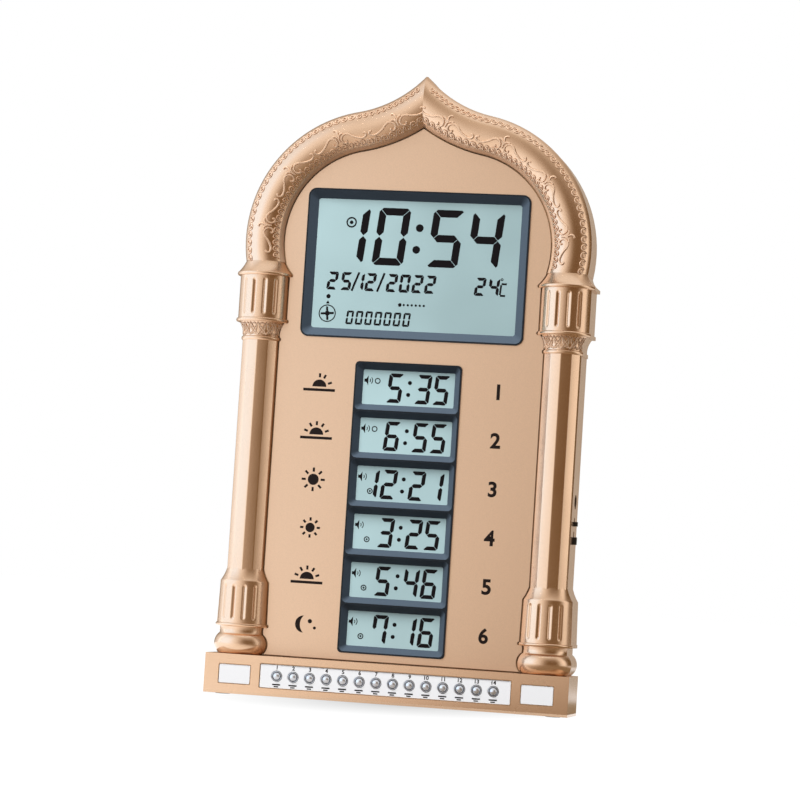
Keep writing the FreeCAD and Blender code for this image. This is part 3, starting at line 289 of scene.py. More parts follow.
def light_guide():
    """Cast acrylic sheet: clear, with its edges a little milky."""
    base = linear("#EEF4F4")
    material, tree, shader, place = begin("cast acrylic", base, 0.0, 0.12, IOR=1.49,
                                          Transmission_Weight=0.85)
    milk = add(tree, "ShaderNodeTexNoise", {"Vector": place, "Scale": 1 / (6 * MM)})
    grain(tree, shader, base, milk.outputs[0], 0.92, 1.04)
    return material


FINISHES = {}


def mix_finishes():
    """Makes every material, by the record's slot or by the piece it is for."""
    FINISHES.update(
        case_paint=case_paint("sprayed rose-gold metallic paint", 0.98, 0.25),
        # On the raised lines the spray dries thick and rough, so that they keep one warm tone.
        relief_paint=case_paint("thick rose-gold metallic paint", 0.5, 0.42),
        panel_satin=panel_satin(), display_glass=display_glass(),
        small_glass=display_glass(1.24),
        plated_caps=plated_caps(), cover_black=cover_black(), board_green=board_green(),
        light_guide=light_guide(),
        # Slate-blue ABS under a dull lacquer: little shine, so each slope keeps its own tone.
        bezel_navy=moulded("lacquered slate ABS", colours().frames[:], 0.45, 0.5, 0.004, 0.2,
                           Specular_IOR_Level=0.12),
        # The frames' flat fronts and outer sides take a darker plastic: a painted shade along the frames'
        # edges and between the windows.
        bezel_rim=moulded("painted frame shade", linear("#11181F"), 0.35, 0.6, 0.004,
                          Specular_IOR_Level=0.25),
        # A liquid-crystal segment, switched on, under the polariser: near black, with almost no shine.
        figures=moulded("darkened liquid crystal", colours().figures[:], 0.5, 12, 0.0, 0.3,
                        Specular_IOR_Level=0.1),
        # Screen-printed ink: flat, dark brown-black, with the mesh's slight unevenness.
        printing=moulded("screen-printed ink", colours().print[:], 0.6, 0.4, 0.004, 0.35,
                         Specular_IOR_Level=0.15),
        # White ABS, moulded with a fine satin skin: bright and plain.
        white_trim=moulded("moulded white ABS", colours().white[:], 0.38, 0.6, 0.004, 0.03, IOR=1.53),
        # Dark brown at the groove's foot and round the pockets: a painted shade in the creases.
        groove=moulded("painted crease shade", linear("#9A7552"), 0.6, 0.8, 0.01),
        # Solid rubber, moulded: dull and almost black, with a dusty tooth.
        foot_rubber=moulded("moulded rubber", linear("#1A1A1B"), 0.75, 0.4, 0.03),
        # Layered conductive rubber: matt and dark.
        strip_rubber=moulded("layered silicone rubber", linear("#3A3A3E"), 0.7, 0.25, 0.01),
        # Glossy black nylon of the knobs, the socket and the switches, slightly drawn by the mould.
        control_black=moulded("moulded black nylon", linear("#131314"), 0.35, 1.2, 0.01, IOR=1.53),
        # Zinc plate on pressed steel: grey with a cool, broken sheen.
        steel=moulded("zinc-plated steel", linear("#C9CBCE"), 0.3, 1.5, 0.004, 0.18, Metallic=1.0),
        # Cold-rolled sheet, pressed: a duller grey than the screws.
        speaker_steel=moulded("pressed steel sheet", linear("#9C9EA2"), 0.38, 2.0, 0.005, 0.2,
                              Metallic=1.0),
        # Ferrite, pressed and sintered like a ceramic: charcoal grey, slightly rough.
        magnet=moulded("sintered ferrite", linear("#303134"), 0.6, 0.5, 0.02),
        # Paper pulp, felted over a form: fibres show as a soft mottle.
        cone_paper=moulded("felted paper pulp", linear("#26221F"), 0.85, 0.6, 0.05, 0.5),
        # Flat cable in a grey vinyl skin: slightly glossy.
        ribbon=moulded("extruded vinyl ribbon", linear("#8F9498"), 0.4, 1.0, 0.01),
    )
    for name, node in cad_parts.items():
        for slot in node.material_slots:
            slot.material = FINISHES[slot.material.name.split(".")[0]]
            # The small glasses take a paler copy of the film, which undoes most of the painted shade at
            # their place across the display.
            if name.startswith("prayer_display"):
                slot.material = FINISHES["small_glass"]


# ---------------------------------------------------------------- making pieces
def placed(bm, name, finish, body="case", replaces=(), smooth=32.0):
    """Turns a mesh drawn in millimetres into a finished piece that rides on a body."""
    bmesh.ops.recalc_face_normals(bm, faces=bm.faces)
    bmesh.ops.scale(bm, vec=(MM, MM, MM), verts=bm.verts)
    return settled(meshed(bm, name, smooth), finish, body, replaces)


def beside(bm, side, part, finish, **more):
    """Places a piece of the right half, or its mirror image for the left half."""
    if side == "left":
        bmesh.ops.scale(bm, vec=(-1, 1, 1), verts=bm.verts)
        bmesh.ops.reverse_faces(bm, faces=bm.faces)
    return placed(bm, side + part, finish, **more)


def meshed(bm, name, sharp=32.0):
    """Turns a mesh into a linked object, smooth but for the edges over an angle."""
    mesh = bpy.data.meshes.new(name)
    bm.to_mesh(mesh)
    bm.free()
    mesh.shade_smooth()
    mesh.set_sharp_from_angle(angle=radians(sharp))
    thing = bpy.data.objects.new(name, mesh)
    bpy.context.scene.collection.objects.link(thing)
    return thing


def settled(piece, finish, body, replaces):
    """Gives a new object its material and its body."""
    piece.data.materials.append(FINISHES[finish])
    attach(piece, body)
    if replaces:
        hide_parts(*replaces)
    return piece


def refined(node, finish, width, body="case", segments=2, sharp=32.0, top=None):
    """A CAD node's own shape with its edges rounded, and cut off at a height, standing for the node."""
    bm = bmesh.new()
    bm.from_mesh(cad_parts[node].data)
    bmesh.ops.remove_doubles(bm, verts=bm.verts, dist=1e-6)
    if top:
        halved(bm, (0, 0, top * MM), (0, 0, 1))
    bmesh.ops.dissolve_limit(bm, angle_limit=radians(0.6), verts=bm.verts, edges=bm.edges)
    piece = settled(meshed(bm, node + "_rounded", sharp), finish, body, [node])
    bevel = piece.modifiers.new("rounded edges", "BEVEL")
    bevel.width = width * MM
    bevel.segments = segments
    bevel.limit_method = "ANGLE"
    bevel.angle_limit = radians(sharp)
    # A single step is a cut edge, not a rounded one.
    bevel.mark_sharp = segments == 1
    even = piece.modifiers.new("even shading", "WEIGHTED_NORMAL")
    even.weight = 100
    even.keep_sharp = True
    return piece


def arc(x, z, radius, start, sweep, steps):
    """Points along an arc, from its start to its end."""
    return [(x + radius * cos(start + sweep * i / steps), z + radius * sin(start + sweep * i / steps))
            for i in range(steps + 1)]


def through(start, middle, end, steps):
    """Points along the arc from start to end that passes through middle."""
    (ax, ay), (bx, by), (cx, cy) = start, middle, end
    a, b, c = (x ** 2 + y ** 2 for x, y in (start, middle, end))
    twice = 2 * (ax * (by - cy) + bx * (cy - ay) + cx * (ay - by))
    x0 = (a * (by - cy) + b * (cy - ay) + c * (ay - by)) / twice
    y0 = (a * (cx - bx) + b * (ax - cx) + c * (bx - ax)) / twice
    first, mid, last = (atan2(y - y0, x - x0) for x, y in (start, middle, end))
    sweep = (last - first) % (2 * pi)
    if (mid - first) % (2 * pi) > sweep:
        sweep -= 2 * pi
    return arc(x0, y0, hypot(ax - x0, ay - y0), first, sweep, steps)


def thread(bm, points, closed=False):
    """A chain of edges through points."""
    verts = [bm.verts.new(p) for p in points]
    return [bm.edges.new(pair) for pair in zip(verts, verts[1:] + verts[:closed])]


def spun(bm, centre, axis, steps):
    """Turns a chain of edges once round an axis."""
    bmesh.ops.spin(bm, geom=bm.verts[:] + bm.edges[:], cent=centre, axis=axis, angle=2 * pi, steps=steps,
                   use_merge=True)
    bmesh.ops.remove_doubles(bm, verts=bm.verts, dist=1e-4)
    return bm


def turned(profile, x):
    """A profile of (radius, height, finest step) turned once round an upright axis at x."""
    bm = bmesh.new()
    edges = thread(bm, [(x + p[0], axis_y, p[1]) for p in profile])
    for edge, low in zip(edges, profile):
        if len(low) > 2:
            bmesh.ops.subdivide_edges(bm, edges=[edge], cuts=int(edge.calc_length() / low[2]))
    return spun(bm, (x, axis_y, 0), (0, 0, 1), bpy.context.scene.clock_sizes.turn_steps)


def halved(bm, point=(0, face_y, 0), normal=(0, 1, 0)):
    """Cuts away what lies beyond a plane and closes the cut."""
    cut = bmesh.ops.bisect_plane(bm, geom=bm.verts[:] + bm.edges[:] + bm.faces[:], dist=1e-4,
                                 plane_co=point, plane_no=normal, clear_outer=True)
    rim = [e for e in cut["geom_cut"] if isinstance(e, bmesh.types.BMEdge) and e.is_boundary]
    bmesh.ops.holes_fill(bm, edges=rim)


def thickened(bm, faces, vec):
    """Draws faces out into a slab."""
    slab = bmesh.ops.extrude_face_region(bm, geom=faces, use_keep_orig=True)["geom"]
    bmesh.ops.translate(bm, vec=vec, verts=[v for v in slab if isinstance(v, bmesh.types.BMVert)])


def loop(bm, outline, y):
    """A closed chain of edges through (x, z) points."""
    return thread(bm, [(x, y, z) for x, z in outline], closed=True)


def proud(bm, outline, y=glass_y):
    """A thin plate from an outline of (x, z) points, just proud of a face."""
    faces = bmesh.ops.contextual_create(bm, geom=loop(bm, outline, y - ink))["faces"]
    thickened(bm, faces, (0, 2 * ink, 0))


def rounded(width, height, corner, x=0.0, z=0.0, steps=6):
    """Outline of a rectangle with round corners, as (x, z) points."""
    points = []
    for turn, (sx, sz) in enumerate(((1, 1), (-1, 1), (-1, -1), (1, -1))):
        points += arc(x + sx * (width / 2 - corner), z + sz * (height / 2 - corner), corner, pi / 2 * turn,
                      pi / 2, steps)
    return points


# ---------------------------------------------------------------- plinth, case and panel
class CLOCK_OT_plinth(Operator):
    """Build the plinth, its two end plates and the feet"""
    bl_idname = "clock.plinth"
    bl_label = "Plinth"

    def execute(self, context):
        refined("plinth", "case_paint", size("edge_chamfer"), segments=1)
        refined("end_plates", "white_trim", 0.12)
        refined("rubber_feet", "foot_rubber", 0.3)
        return {"FINISHED"}


class CLOCK_OT_case(Operator):
    """Build the case wall behind the mouldings"""
    bl_idname = "clock.case"
    bl_label = "Case"

    def execute(self, context):
        refined("front_case", "case_paint", 0.25, top=tip_z)
        return {"FINISHED"}


def base_profile():
    """The column's foot as (reach at the panel's face, height, finest step)."""
    return ([(12.9, 23.6)] + through((12.9, 23.6), (15.9, 29.6), (12.9, 35.6), 18)[1:]
            + [(12.7, 37.6), (12.9, 39.6), (15.1, 39.6)]
            + through((15.1, 39.6), (15.8, 40.6), (15.1, 41.6), 8)[1:]
            + [(14.8, foot_drum[0], 0.42), (14.4, foot_drum[1])]
            + through((14.4, foot_drum[1]), (12.13, 70.38), (shaft_reach, 73.8), 10)[1:])


def capital_profile():
    """The column's head as (reach at the panel's face, height, finest step)."""
    (neck, flare), (drum, brim) = throat, head_drum
    return ([(10.9, 208.85), (11.2, 208.85)] + through((11.2, 208.85), (11.8, 210.0), (11.2, neck), 8)[1:]
            + throat_line(16)
            + [(15.1, flare)] + through((15.1, flare), (15.7, 220.8), (15.1, drum), 8)[1:]
            + [(14.65, drum, 0.42), (14.65, brim), (16.1, brim)]
            + through((16.1, brim), (16.6, 248.25), (16.1, 249.25), 8)[1:]
            + through((16.1, 249.25), (13.5, 252.6), (11.7, arch_foot_z), 10)[1:])


def throat_line(steps):
    """The flare under the column's head."""
    return through((10.9, throat[0]), (11.3, 215.88), (13.2, throat[1]), steps)


class CLOCK_OT_panel(Operator):
    """Build the flat panel, let in between the mouldings with a narrow groove"""
    bl_idname = "clock.panel"
    bl_label = "Panel"

    def execute(self, context):
        gap = size("panel_gap")
        side = [(column_x - p[0] - gap, p[1]) for p in base_profile()]
        side += [(column_x - p[0] - gap, p[1]) for p in capital_profile()]
        side[0] = (side[0][0], plinth_top + gap)
        side += arch_line(-tube_reach - gap)
        outline = [(x, z) for x, z in side] + [(-x, z) for x, z in reversed(side[:-1])]
        bm = bmesh.new()
        edges = loop(bm, outline, face_y)
        for window in (main_window, tall_window):
            edges += loop(bm, rounded(*window), face_y)
        bmesh.ops.triangle_fill(bm, edges=edges, use_beauty=True, normal=(0, -1, 0))
        thickened(bm, bm.faces[:], (0, panel_sheet, 0))
        bmesh.ops.dissolve_degenerate(bm, dist=0.01, edges=bm.edges)
        placed(bm, "panel_plate", "panel_satin", replaces=["front_panel"])

        # The bed under the panel shows in the groove, darkened with a painted shade.
        bm = bmesh.new()
        bm.from_mesh(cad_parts["front_panel"].data)
        bmesh.ops.scale(bm, vec=(1 / MM, 1 / MM, 1 / MM), verts=bm.verts)
        bmesh.ops.remove_doubles(bm, verts=bm.verts, dist=1e-3)
        for vert in bm.verts:
            if vert.co.y < face_y + 0.1:
                vert.co.y = face_y + panel_sheet
        placed(bm, "panel_bed", "groove", replaces=["front_panel"])
        return {"FINISHED"}


def arch_line(offset):
    """A line along the right half of the arch at an offset from the tube's middle, up to the apex."""
    near = haunch_radius + offset
    low, high = asin((arch_foot_z - haunch_z) / near), pi / 2 - crown_turn
    x, z, radius = ogee()
    far = radius - offset
    first, last = -pi / 2 - crown_turn, atan2(-sqrt(far ** 2 - x ** 2), -x)
    return arc(haunch_x, haunch_z, near, low, high - low, 40) + arc(x, z, far, first, last - first, 20)[1:]


def ogee():
    """Centre and radius of the crown's arc, along the tube's middle line."""
    outer = haunch_radius + tube_reach
    radius = (haunch_x + outer * sin(crown_turn)) / (sin(apex_half) - sin(crown_turn))
    away = outer + radius
    return haunch_x + away * sin(crown_turn), haunch_z + away * cos(crown_turn), radius + tube_reach


# ---------------------------------------------------------------- columns
def full(profile):
    """A profile's reaches at the panel's face as true radii, closed to the axis at both ends."""
    points = [(hypot(p[0], face_y - axis_y), *p[1:]) for p in profile]
    return [(0, points[0][1])] + points + [(0, points[-1][1])]


def flute(bm, x, drum, reach):
    """Presses four round-ended grooves into a drum."""
    low, high = drum
    radius = hypot(reach, face_y - axis_y)
    groove, depth, margin = 1.3, 0.85, 2.0
    middle, half = (low + high) / 2, (high - low) / 2 - margin - groove
    for vert in bm.verts:
        dx, dy = vert.co.x - x, vert.co.y - axis_y
        if not low < vert.co.z < high or hypot(dx, dy) < 0.8 * radius:
            continue
        angle = degrees(atan2(dx, -dy))
        for at in (-37.5, -12.5, 12.5, 37.5):
            across = radians(angle - at) * radius
            away = hypot(across, max(0, abs(vert.co.z - middle) - half))
            if away < groove:
                sink = depth * (1 - away / groove)
                vert.co.x -= dx / radius * sink
                vert.co.y -= dy / radius * sink


def shaft(x):
    """The faceted shaft, a ridge to the front."""
    bm = bmesh.new()
    radius = shaft_reach + (axis_y - face_y) * tan(pi / 12)
    corners = [(x + radius * sin(pi / 6 * i), axis_y - radius * cos(pi / 6 * i), shaft_foot)
               for i in range(12)]
    foot = bmesh.ops.contextual_create(bm, geom=thread(bm, corners, closed=True))["faces"]
    thickened(bm, foot, (0, 0, shaft_top - shaft_foot))
    uprights = [e for e in bm.edges if abs(e.verts[0].co.z - e.verts[1].co.z) > 1]
    bmesh.ops.bevel(bm, geom=uprights, affect="EDGES", offset=0.4, segments=3, profile=0.5, material=-1)
    return bm


class CLOCK_OT_columns(Operator):
    """Build both columns: fluted foot, faceted shaft and fluted capital"""
    bl_idname = "clock.columns"
    bl_label = "Columns"

    def execute(self, context):
        for side in ("right", "left"):
            base = turned(full(base_profile()), column_x)
            flute(base, column_x, foot_drum, 14.7)
            head = turned(full(capital_profile()), column_x)
            flute(head, column_x, head_drum, 14.65)
            for bm, part in ((base, "base"), (shaft(column_x), "shaft"), (head, "capital")):
                halved(bm)
                beside(bm, side, "_column_" + part, "case_paint", replaces=[side + "_column"], smooth=45)
        return {"FINISHED"}


# ---------------------------------------------------------------- arch
class CLOCK_OT_arch(Operator):
    """Build both halves of the ogee arch"""
    bl_idname = "clock.arch"
    bl_label = "Arch"

    def execute(self, context):
        # The tube is drawn past both ends by an overrun, and cut there.
        overrun, rough_from = radians(8), tube_radius * sin(radians(51))
        low = foot_turn - overrun
        x, z, radius = ogee()
        for side in ("right", "left"):
            bm = bmesh.new()
            place = (Matrix.Translation((haunch_x, axis_y, haunch_z)) @ Matrix.Rotation(-low, 4, "Y")
                     @ Matrix.Translation((haunch_radius, 0, 0)))
            circle = bmesh.ops.create_circle(bm, segments=96, radius=tube_radius, matrix=place)["verts"]
            edges = list({e for v in circle for e in v.link_edges})
            end = bmesh.ops.spin(bm, geom=circle + edges, cent=(haunch_x, 0, haunch_z), axis=(0, -1, 0),
                                 angle=pi / 2 - crown_turn - low, steps=72)["geom_last"]
            bmesh.ops.spin(bm, geom=end, cent=(x, 0, z), axis=(0, 1, 0),
                           angle=apex_half - crown_turn + overrun, steps=36)
            bmesh.ops.remove_doubles(bm, verts=bm.verts, dist=1e-4)
            halved(bm)
            halved(bm, (0, 0, arch_foot_z), (0, 0, -1))
            halved(bm, (0, 0, 0), (-1, 0, 0))
            halved(bm, (0, 0, tip_z), (0, 0, 1))
            tube = beside(bm, side, "_arch_tube", "case_paint", replaces=[side + "_arch"])
            # The spray reaches the flank over the panel at a slant, and dries rough there.
            tube.data.materials.append(FINISHES["relief_paint"])
            for face in tube.data.polygons:
                across, up = abs(face.center.x) / MM, face.center.z / MM
                depth = haunch_radius - hypot(across - haunch_x, up - haunch_z)
                if across - haunch_x < (up - haunch_z) * tan(crown_turn):
                    depth = hypot(across - x, up - z) - radius
                face.material_index = int(depth > rough_from)
        return {"FINISHED"}


# ---------------------------------------------------------------- scrollwork
def drawn(curve):
    """A curve's mesh; the curve itself is used up."""
    source = bpy.data.objects.new("curve", curve)
    bpy.context.scene.collection.objects.link(source)
    mesh = bpy.data.meshes.new_from_object(source.evaluated_get(bpy.context.evaluated_depsgraph_get()))
    bm = bmesh.new()
    bm.from_mesh(mesh)
    bpy.data.meshes.remove(mesh)
    bpy.data.objects.remove(source)
    bpy.data.curves.remove(curve)
    return bm


def laid(strokes, radius, sides, steps):
    """Raised lines through lists of flat points; sides is the resolution of their section."""
    curve = bpy.data.curves.new("lines", "CURVE")
    curve.dimensions = "3D"
    curve.bevel_depth = radius
    curve.bevel_resolution = sides
    curve.resolution_u = steps
    curve.use_fill_caps = True
    for points in strokes:
        spline = curve.splines.new("BEZIER")
        spline.bezier_points.add(len(points) - 1)
        for knot, (along, across) in zip(spline.bezier_points, points):
            knot.co = (along, across, 0)
            knot.handle_left_type = knot.handle_right_type = "AUTO"
    return drawn(curve)


def on_arch(along, across, rise):
    """The point of the tube's surface at a length along the arch from its foot, a length across it
    (outwards is positive) and a height over it."""
    reach = tube_radius + rise
    lean = across / tube_radius
    turn_over = haunch_radius * (pi / 2 - crown_turn - foot_turn)
    if along < turn_over:
        angle = foot_turn + along / haunch_radius
        out = haunch_radius + reach * sin(lean)
        return haunch_x + out * cos(angle), axis_y - reach * cos(lean), haunch_z + out * sin(angle)
    x, z, radius = ogee()
    angle = -pi / 2 - crown_turn - (along - turn_over) / radius
    out = radius - reach * sin(lean)
    return x + out * cos(angle), axis_y - reach * cos(lean), z + out * sin(angle)


# One S-scroll of the vine, curled at both ends, from one joint to the next: (along, across).
SCROLL = ((2.5, 1.25), (1.5, 1.15), (0.9, 0.1), (1.7, -1.1), (3.3, -1.6), (5.6, -1.2), (8.9, 0.35),
          (11.4, 2.2), (13.5, 2.75), (15.6, 1.7), (16.4, -0.4), (15.6, -2.1), (14.1, -2.5), (13.3, -1.7),
          (13.8, -0.9))
# The leaves over every second joint.
LEAVES = (((0.1, -1.2), (0.0, 1.2), (1.3, 3.2), (3.6, 3.8)), ((0.0, 1.2), (-1.5, 3.0), (-3.6, 3.3)),
          ((-0.3, 2.4), (0.5, 4.6), (-0.2, 6.2), (-1.5, 6.6)))
# A small curl of the edge rows, with the tail that runs to the next.
CURL = ((0.3, 0.45), (-0.5, 0.5), (-0.7, -0.45), (0.25, -1.15), (1.35, -0.5), (1.35, 1.1), (0.0, 1.95),
        (-1.5, 1.2), (-1.9, -0.6), (-2.85, -1.75))


class CLOCK_OT_scrollwork(Operator):
    """Raise the vine and the two rows of curls on the arch"""
    bl_idname = "clock.scrollwork"
    bl_label = "Scrollwork"

    def execute(self, context):
        radius, rise = size("line_width") / 2, size("line_rise")
        joint, step, middle = 3.5, 18.0, -3.9
        pitch, first_curl, row = size("curl_pitch"), 2.6, 8.9
        vine, inner, outer = [], [], []
        for i in range(8):
            start = joint + i * step
            vine.append([(start + (step - a if i % 2 else a), middle + b) for a, b in SCROLL])
            if i % 2:
                vine += [[(start + a, middle + b) for a, b in leaf] for leaf in LEAVES]
        for i in range(36):
            along = first_curl + i * pitch
            inner.append([(along + a, -row + b) for a, b in CURL])
            outer.append([(along + a, row - b) for a, b in CURL])
        for side in ("right", "left"):
            for name, strokes, width, steps, lift in (("vine", vine, radius, 5, rise),
                                                      ("inner_curls", inner, radius * 0.54, 3, rise * 0.66),
                                                      ("outer_curls", outer, radius * 0.5, 3, rise * 0.5)):
                bm = laid(strokes, width, 1, steps)
                for vert in bm.verts:
                    vert.co = on_arch(vert.co.x, vert.co.y, vert.co.z + lift - width)
                halved(bm, (0.02, 0, 0), (-1, 0, 0))
                beside(bm, side, "_arch_" + name, "relief_paint", smooth=60)
            self.lattice(side)
        return {"FINISHED"}

    def lattice(self, side):
        """The looped lattice round the column's throat."""
        low, flare = throat[0], throat_line(24)
        pitch, across, up, points = 4.9, 2.9, 3.2, 16
        turns = [(t / points, 2 * pi * t / points) for t in range(-points * 4 - 8, points * 4 + 9)]
        strokes = [[(pitch * done + across * sin(turn), low + 4.3 - up * cos(turn)) for done, turn in turns]]
        strokes += [[(pitch * (i + lean * share), low + 0.7 + 7.0 * share) for share in (0, 0.5, 1)]
                    for i in range(-4, 5) for lean in (-1, 1)]
        bm = laid(strokes, size("line_width") * 0.34, 1, 1)
        for vert in bm.verts:
            reach = next(a[0] + (b[0] - a[0]) * (vert.co.y - a[1]) / (b[1] - a[1])
                         for a, b in zip(flare, flare[1:]) if vert.co.y <= b[1] or b is flare[-1])
            out = hypot(reach, face_y - axis_y)
            angle = vert.co.x / out
            out += vert.co.z + 0.12
            vert.co = (column_x + out * sin(angle), axis_y - out * cos(angle), vert.co.y)
        halved(bm)
        beside(bm, side, "_throat_lattice", "relief_paint", smooth=60)


# ---------------------------------------------------------------- displays
LIT = {"0": "abcdef", "1": "bc", "2": "abged", "3": "abgcd", "4": "fgbc", "5": "afgcd", "6": "afgedc",
       "7": "abcf", "8": "abcdefg", "9": "abcdfg"}


def segments(width, height, stroke):
    """Outlines of the seven segments of a figure, as (across, up) points."""
    w, h, t, m, c = width, height, stroke, height / 2, stroke * 0.45
    top = [(c / 2, h - c / 2), (c, h), (w - c, h), (w - c / 2, h - c / 2), (w - t, h - t), (t, h - t)]
    left = [(0, h - c), (c / 2, h - c / 2), (t, h - t), (t, m + t / 2), (t / 2, m), (0, m + t / 2)]
    waist = [(t / 2, m), (t, m + t / 2), (w - t, m + t / 2), (w - t / 2, m), (w - t, m - t / 2),
             (t, m - t / 2)]
    return {
        "a": top, "f": left, "g": waist,
        "d": [(x, h - z) for x, z in top], "b": [(w - x, z) for x, z in left],
        "e": [(x, h - z) for x, z in left], "c": [(w - x, h - z) for x, z in left],
    }


def pulled_in(points, gap):
    """An outline with every point drawn towards its middle, which leaves a hairline between segments."""
    mx = sum(p[0] for p in points) / len(points)
    mz = sum(p[1] for p in points) / len(points)
    reach = min(hypot(x - mx, z - mz) for x, z in points)
    share = 1 - gap / max(reach, gap * 4)
    return [(mx + (x - mx) * share, mz + (z - mz) * share) for x, z in points]


def figure(bm, text, x, z, width, height, stroke, slant=0.0985, gap=0.16):
    """Draws one figure of a display; x, z is the lower left corner."""
    for name in LIT[text]:
        points = pulled_in(segments(width, height, stroke)[name], gap)
        proud(bm, [(x + across + slant * up, z + up) for across, up in points])


def dot(bm, x, z, radius, y=glass_y, steps=24):
    """A round dot, just proud of a face."""
    proud(bm, arc(x, z, radius, 0, 2 * pi, steps)[:-1], y)


def bar(bm, x0, z0, x1, z1, width, y=glass_y):
    """A straight printed stroke between two points, just proud of a face."""
    run = hypot(x1 - x0, z1 - z0)
    ox, oz = (z1 - z0) / run * width / 2, -(x1 - x0) / run * width / 2
    proud(bm, [(x0 + ox, z0 + oz), (x1 + ox, z1 + oz), (x1 - ox, z1 - oz), (x0 - ox, z0 - oz)], y)


def ray(bm, x, z, angle, near, far, width, y=glass_y):
    """A straight stroke that points away from a middle."""
    across, up = cos(angle), sin(angle)
    bar(bm, x + near * across, z + near * up, x + far * across, z + far * up, width, y)


def border(bm, width, height, x, z, line, y):
    """A thin frame round a rectangle, just proud of a face."""
    edges = []
    for more in (0, line):
        edges += loop(bm, rounded(width + 2 * more, height + 2 * more, 0.3 + more, x, z, 2), y - ink)
    thickened(bm, bmesh.ops.bridge_loops(bm, edges=edges)["faces"], (0, 2 * ink, 0))


def ring(bm, x, z, radius, width, y=glass_y, start=0.0, sweep=2 * pi, steps=36):
    """A printed ring or part of one."""
    outer, inner = (arc(x, z, reach, start, sweep, steps) for reach in (radius, radius - width))
    for i in range(steps):
        proud(bm, [outer[i], outer[i + 1], inner[i + 1], inner[i]], y)


class CLOCK_OT_displays(Operator):
    """Build the display frames and everything the displays show"""
    bl_idname = "clock.displays"
    bl_label = "Displays"

    def execute(self, context):
        for node in ("main_bezel", "prayer_bezel"):
            bezel = refined(node, "bezel_navy", 0.3, segments=3)
            # Flat fronts and outer sides take the darker plastic, a painted shade.
            bezel.data.materials.append(FINISHES["bezel_rim"])
            for face in bezel.data.polygons:
                if face.normal.y < -0.99 or abs(face.normal.y) < 0.01:
                    face.material_index = 1
        bm = bmesh.new()
        high, stroke = size("figure_height"), size("figure_stroke")
        for text, x in (("1", -51.6), ("0", -27.3), ("5", 5.3), ("4", 29.1)):
            figure(bm, text, x, 257.0, 19.1, high, stroke)
        dot(bm, 0.66, 279.85, 2.3)
        dot(bm, -0.65, 266.94, 2.3)
        placed(bm, "time_figures", "figures")

        bm = bmesh.new()
        for text, x in (("2", -53.5), ("5", -45.2), ("1", -37.6), ("2", -30.5), ("2", -17.6), ("0", -9.9),
                        ("2", -2.2), ("2", 5.4), ("2", 35.2), ("4", 43.4)):
            figure(bm, text, x, 241.3, 6.3, 10.8, 1.85, gap=0.07)
        bar(bm, -38.0, 241.1, -34.0, 252.2, 1.25)
        bar(bm, -22.6, 241.2, -18.7, 252.4, 1.25)
        ring(bm, 51.6, 251.4, 0.85, 0.5, steps=14)
        for stroke in ((50.8, 242.3, 51.3, 248.2), (51.5, 248.8, 54.6, 248.8), (51.0, 241.9, 54.0, 241.9)):
            bar(bm, *stroke, 1.1)
        for i in range(7):
            figure(bm, "0", -40.6 + 5.7 * i, 221.2, 4.3, 8.2, 1.25, gap=0.05)
        placed(bm, "date_figures", "figures")

        bm = bmesh.new()
        x, z = -51.8, 227.2
        ring(bm, x, z, 5.2, 0.65)
        dot(bm, x, z, 1.5)
        for i in range(4):
            ray(bm, x, z, pi / 2 * i + 0.08, 1.4, 4.0, 1.3)
        proud(bm, [(-53.0, 233.0), (-50.8, 233.0), (x, 234.9)])
        dot(bm, -51.7, 237.3, 1.3)
        for i in range(7):
            dot(bm, -8.4 + 2.4 * i, 234.0, 0.7 if i else 1.1, steps=14)
        ring(bm, -40.6, 281.8, 3.2, 0.9, steps=28)
        dot(bm, -40.6, 281.8, 1.1)
        placed(bm, "signs", "figures")

        bm = bmesh.new()
        for row, time in enumerate(("5:35", "6:55", "12:21", "3:25", "5:46", "7:16")):
            base = first_row - figure_drop - row_pitch * row
            hour, minute = time.split(":")
            places = [-24.3, -13.4][2 - len(hour):] + [3.4, 14.3]
            for text, x in zip(hour + minute, places):
                figure(bm, text, x, base, 9.0, 17.4, 2.35, gap=0.1)
            dot(bm, 0.68, base + 12.2, 1.2)
            dot(bm, 0.05, base + 5.1, 1.2)
            horn = base + 12.6
            proud(bm, [(-26.7, horn - 0.9), (-25.6, horn - 0.9), (-24.3, horn - 2.9), (-24.3, horn + 2.9),
                       (-25.6, horn + 0.9), (-26.7, horn + 0.9)])
            for radius in (1.6, 2.9):
                ring(bm, -24.4, horn, radius, 0.5, start=-0.75, sweep=1.5, steps=8)
            # The first two times are in the morning, and their sign stands high.
            if row < 2:
                ring(bm, -18.7, horn - 0.1, 1.75, 0.6, steps=20)
            else:
                ring(bm, -19.2, base + 4.3, 1.75, 0.6, steps=20)
                dot(bm, -19.2, base + 4.3, 0.6, steps=12)
        placed(bm, "row_figures", "figures")
        return {"FINISHED"}


# ---------------------------------------------------------------- keys
def key_places():
    """Each key's number and its place across."""
    return [(i + 1, (i - (key_count - 1) / 2) * key_pitch) for i in range(key_count)]


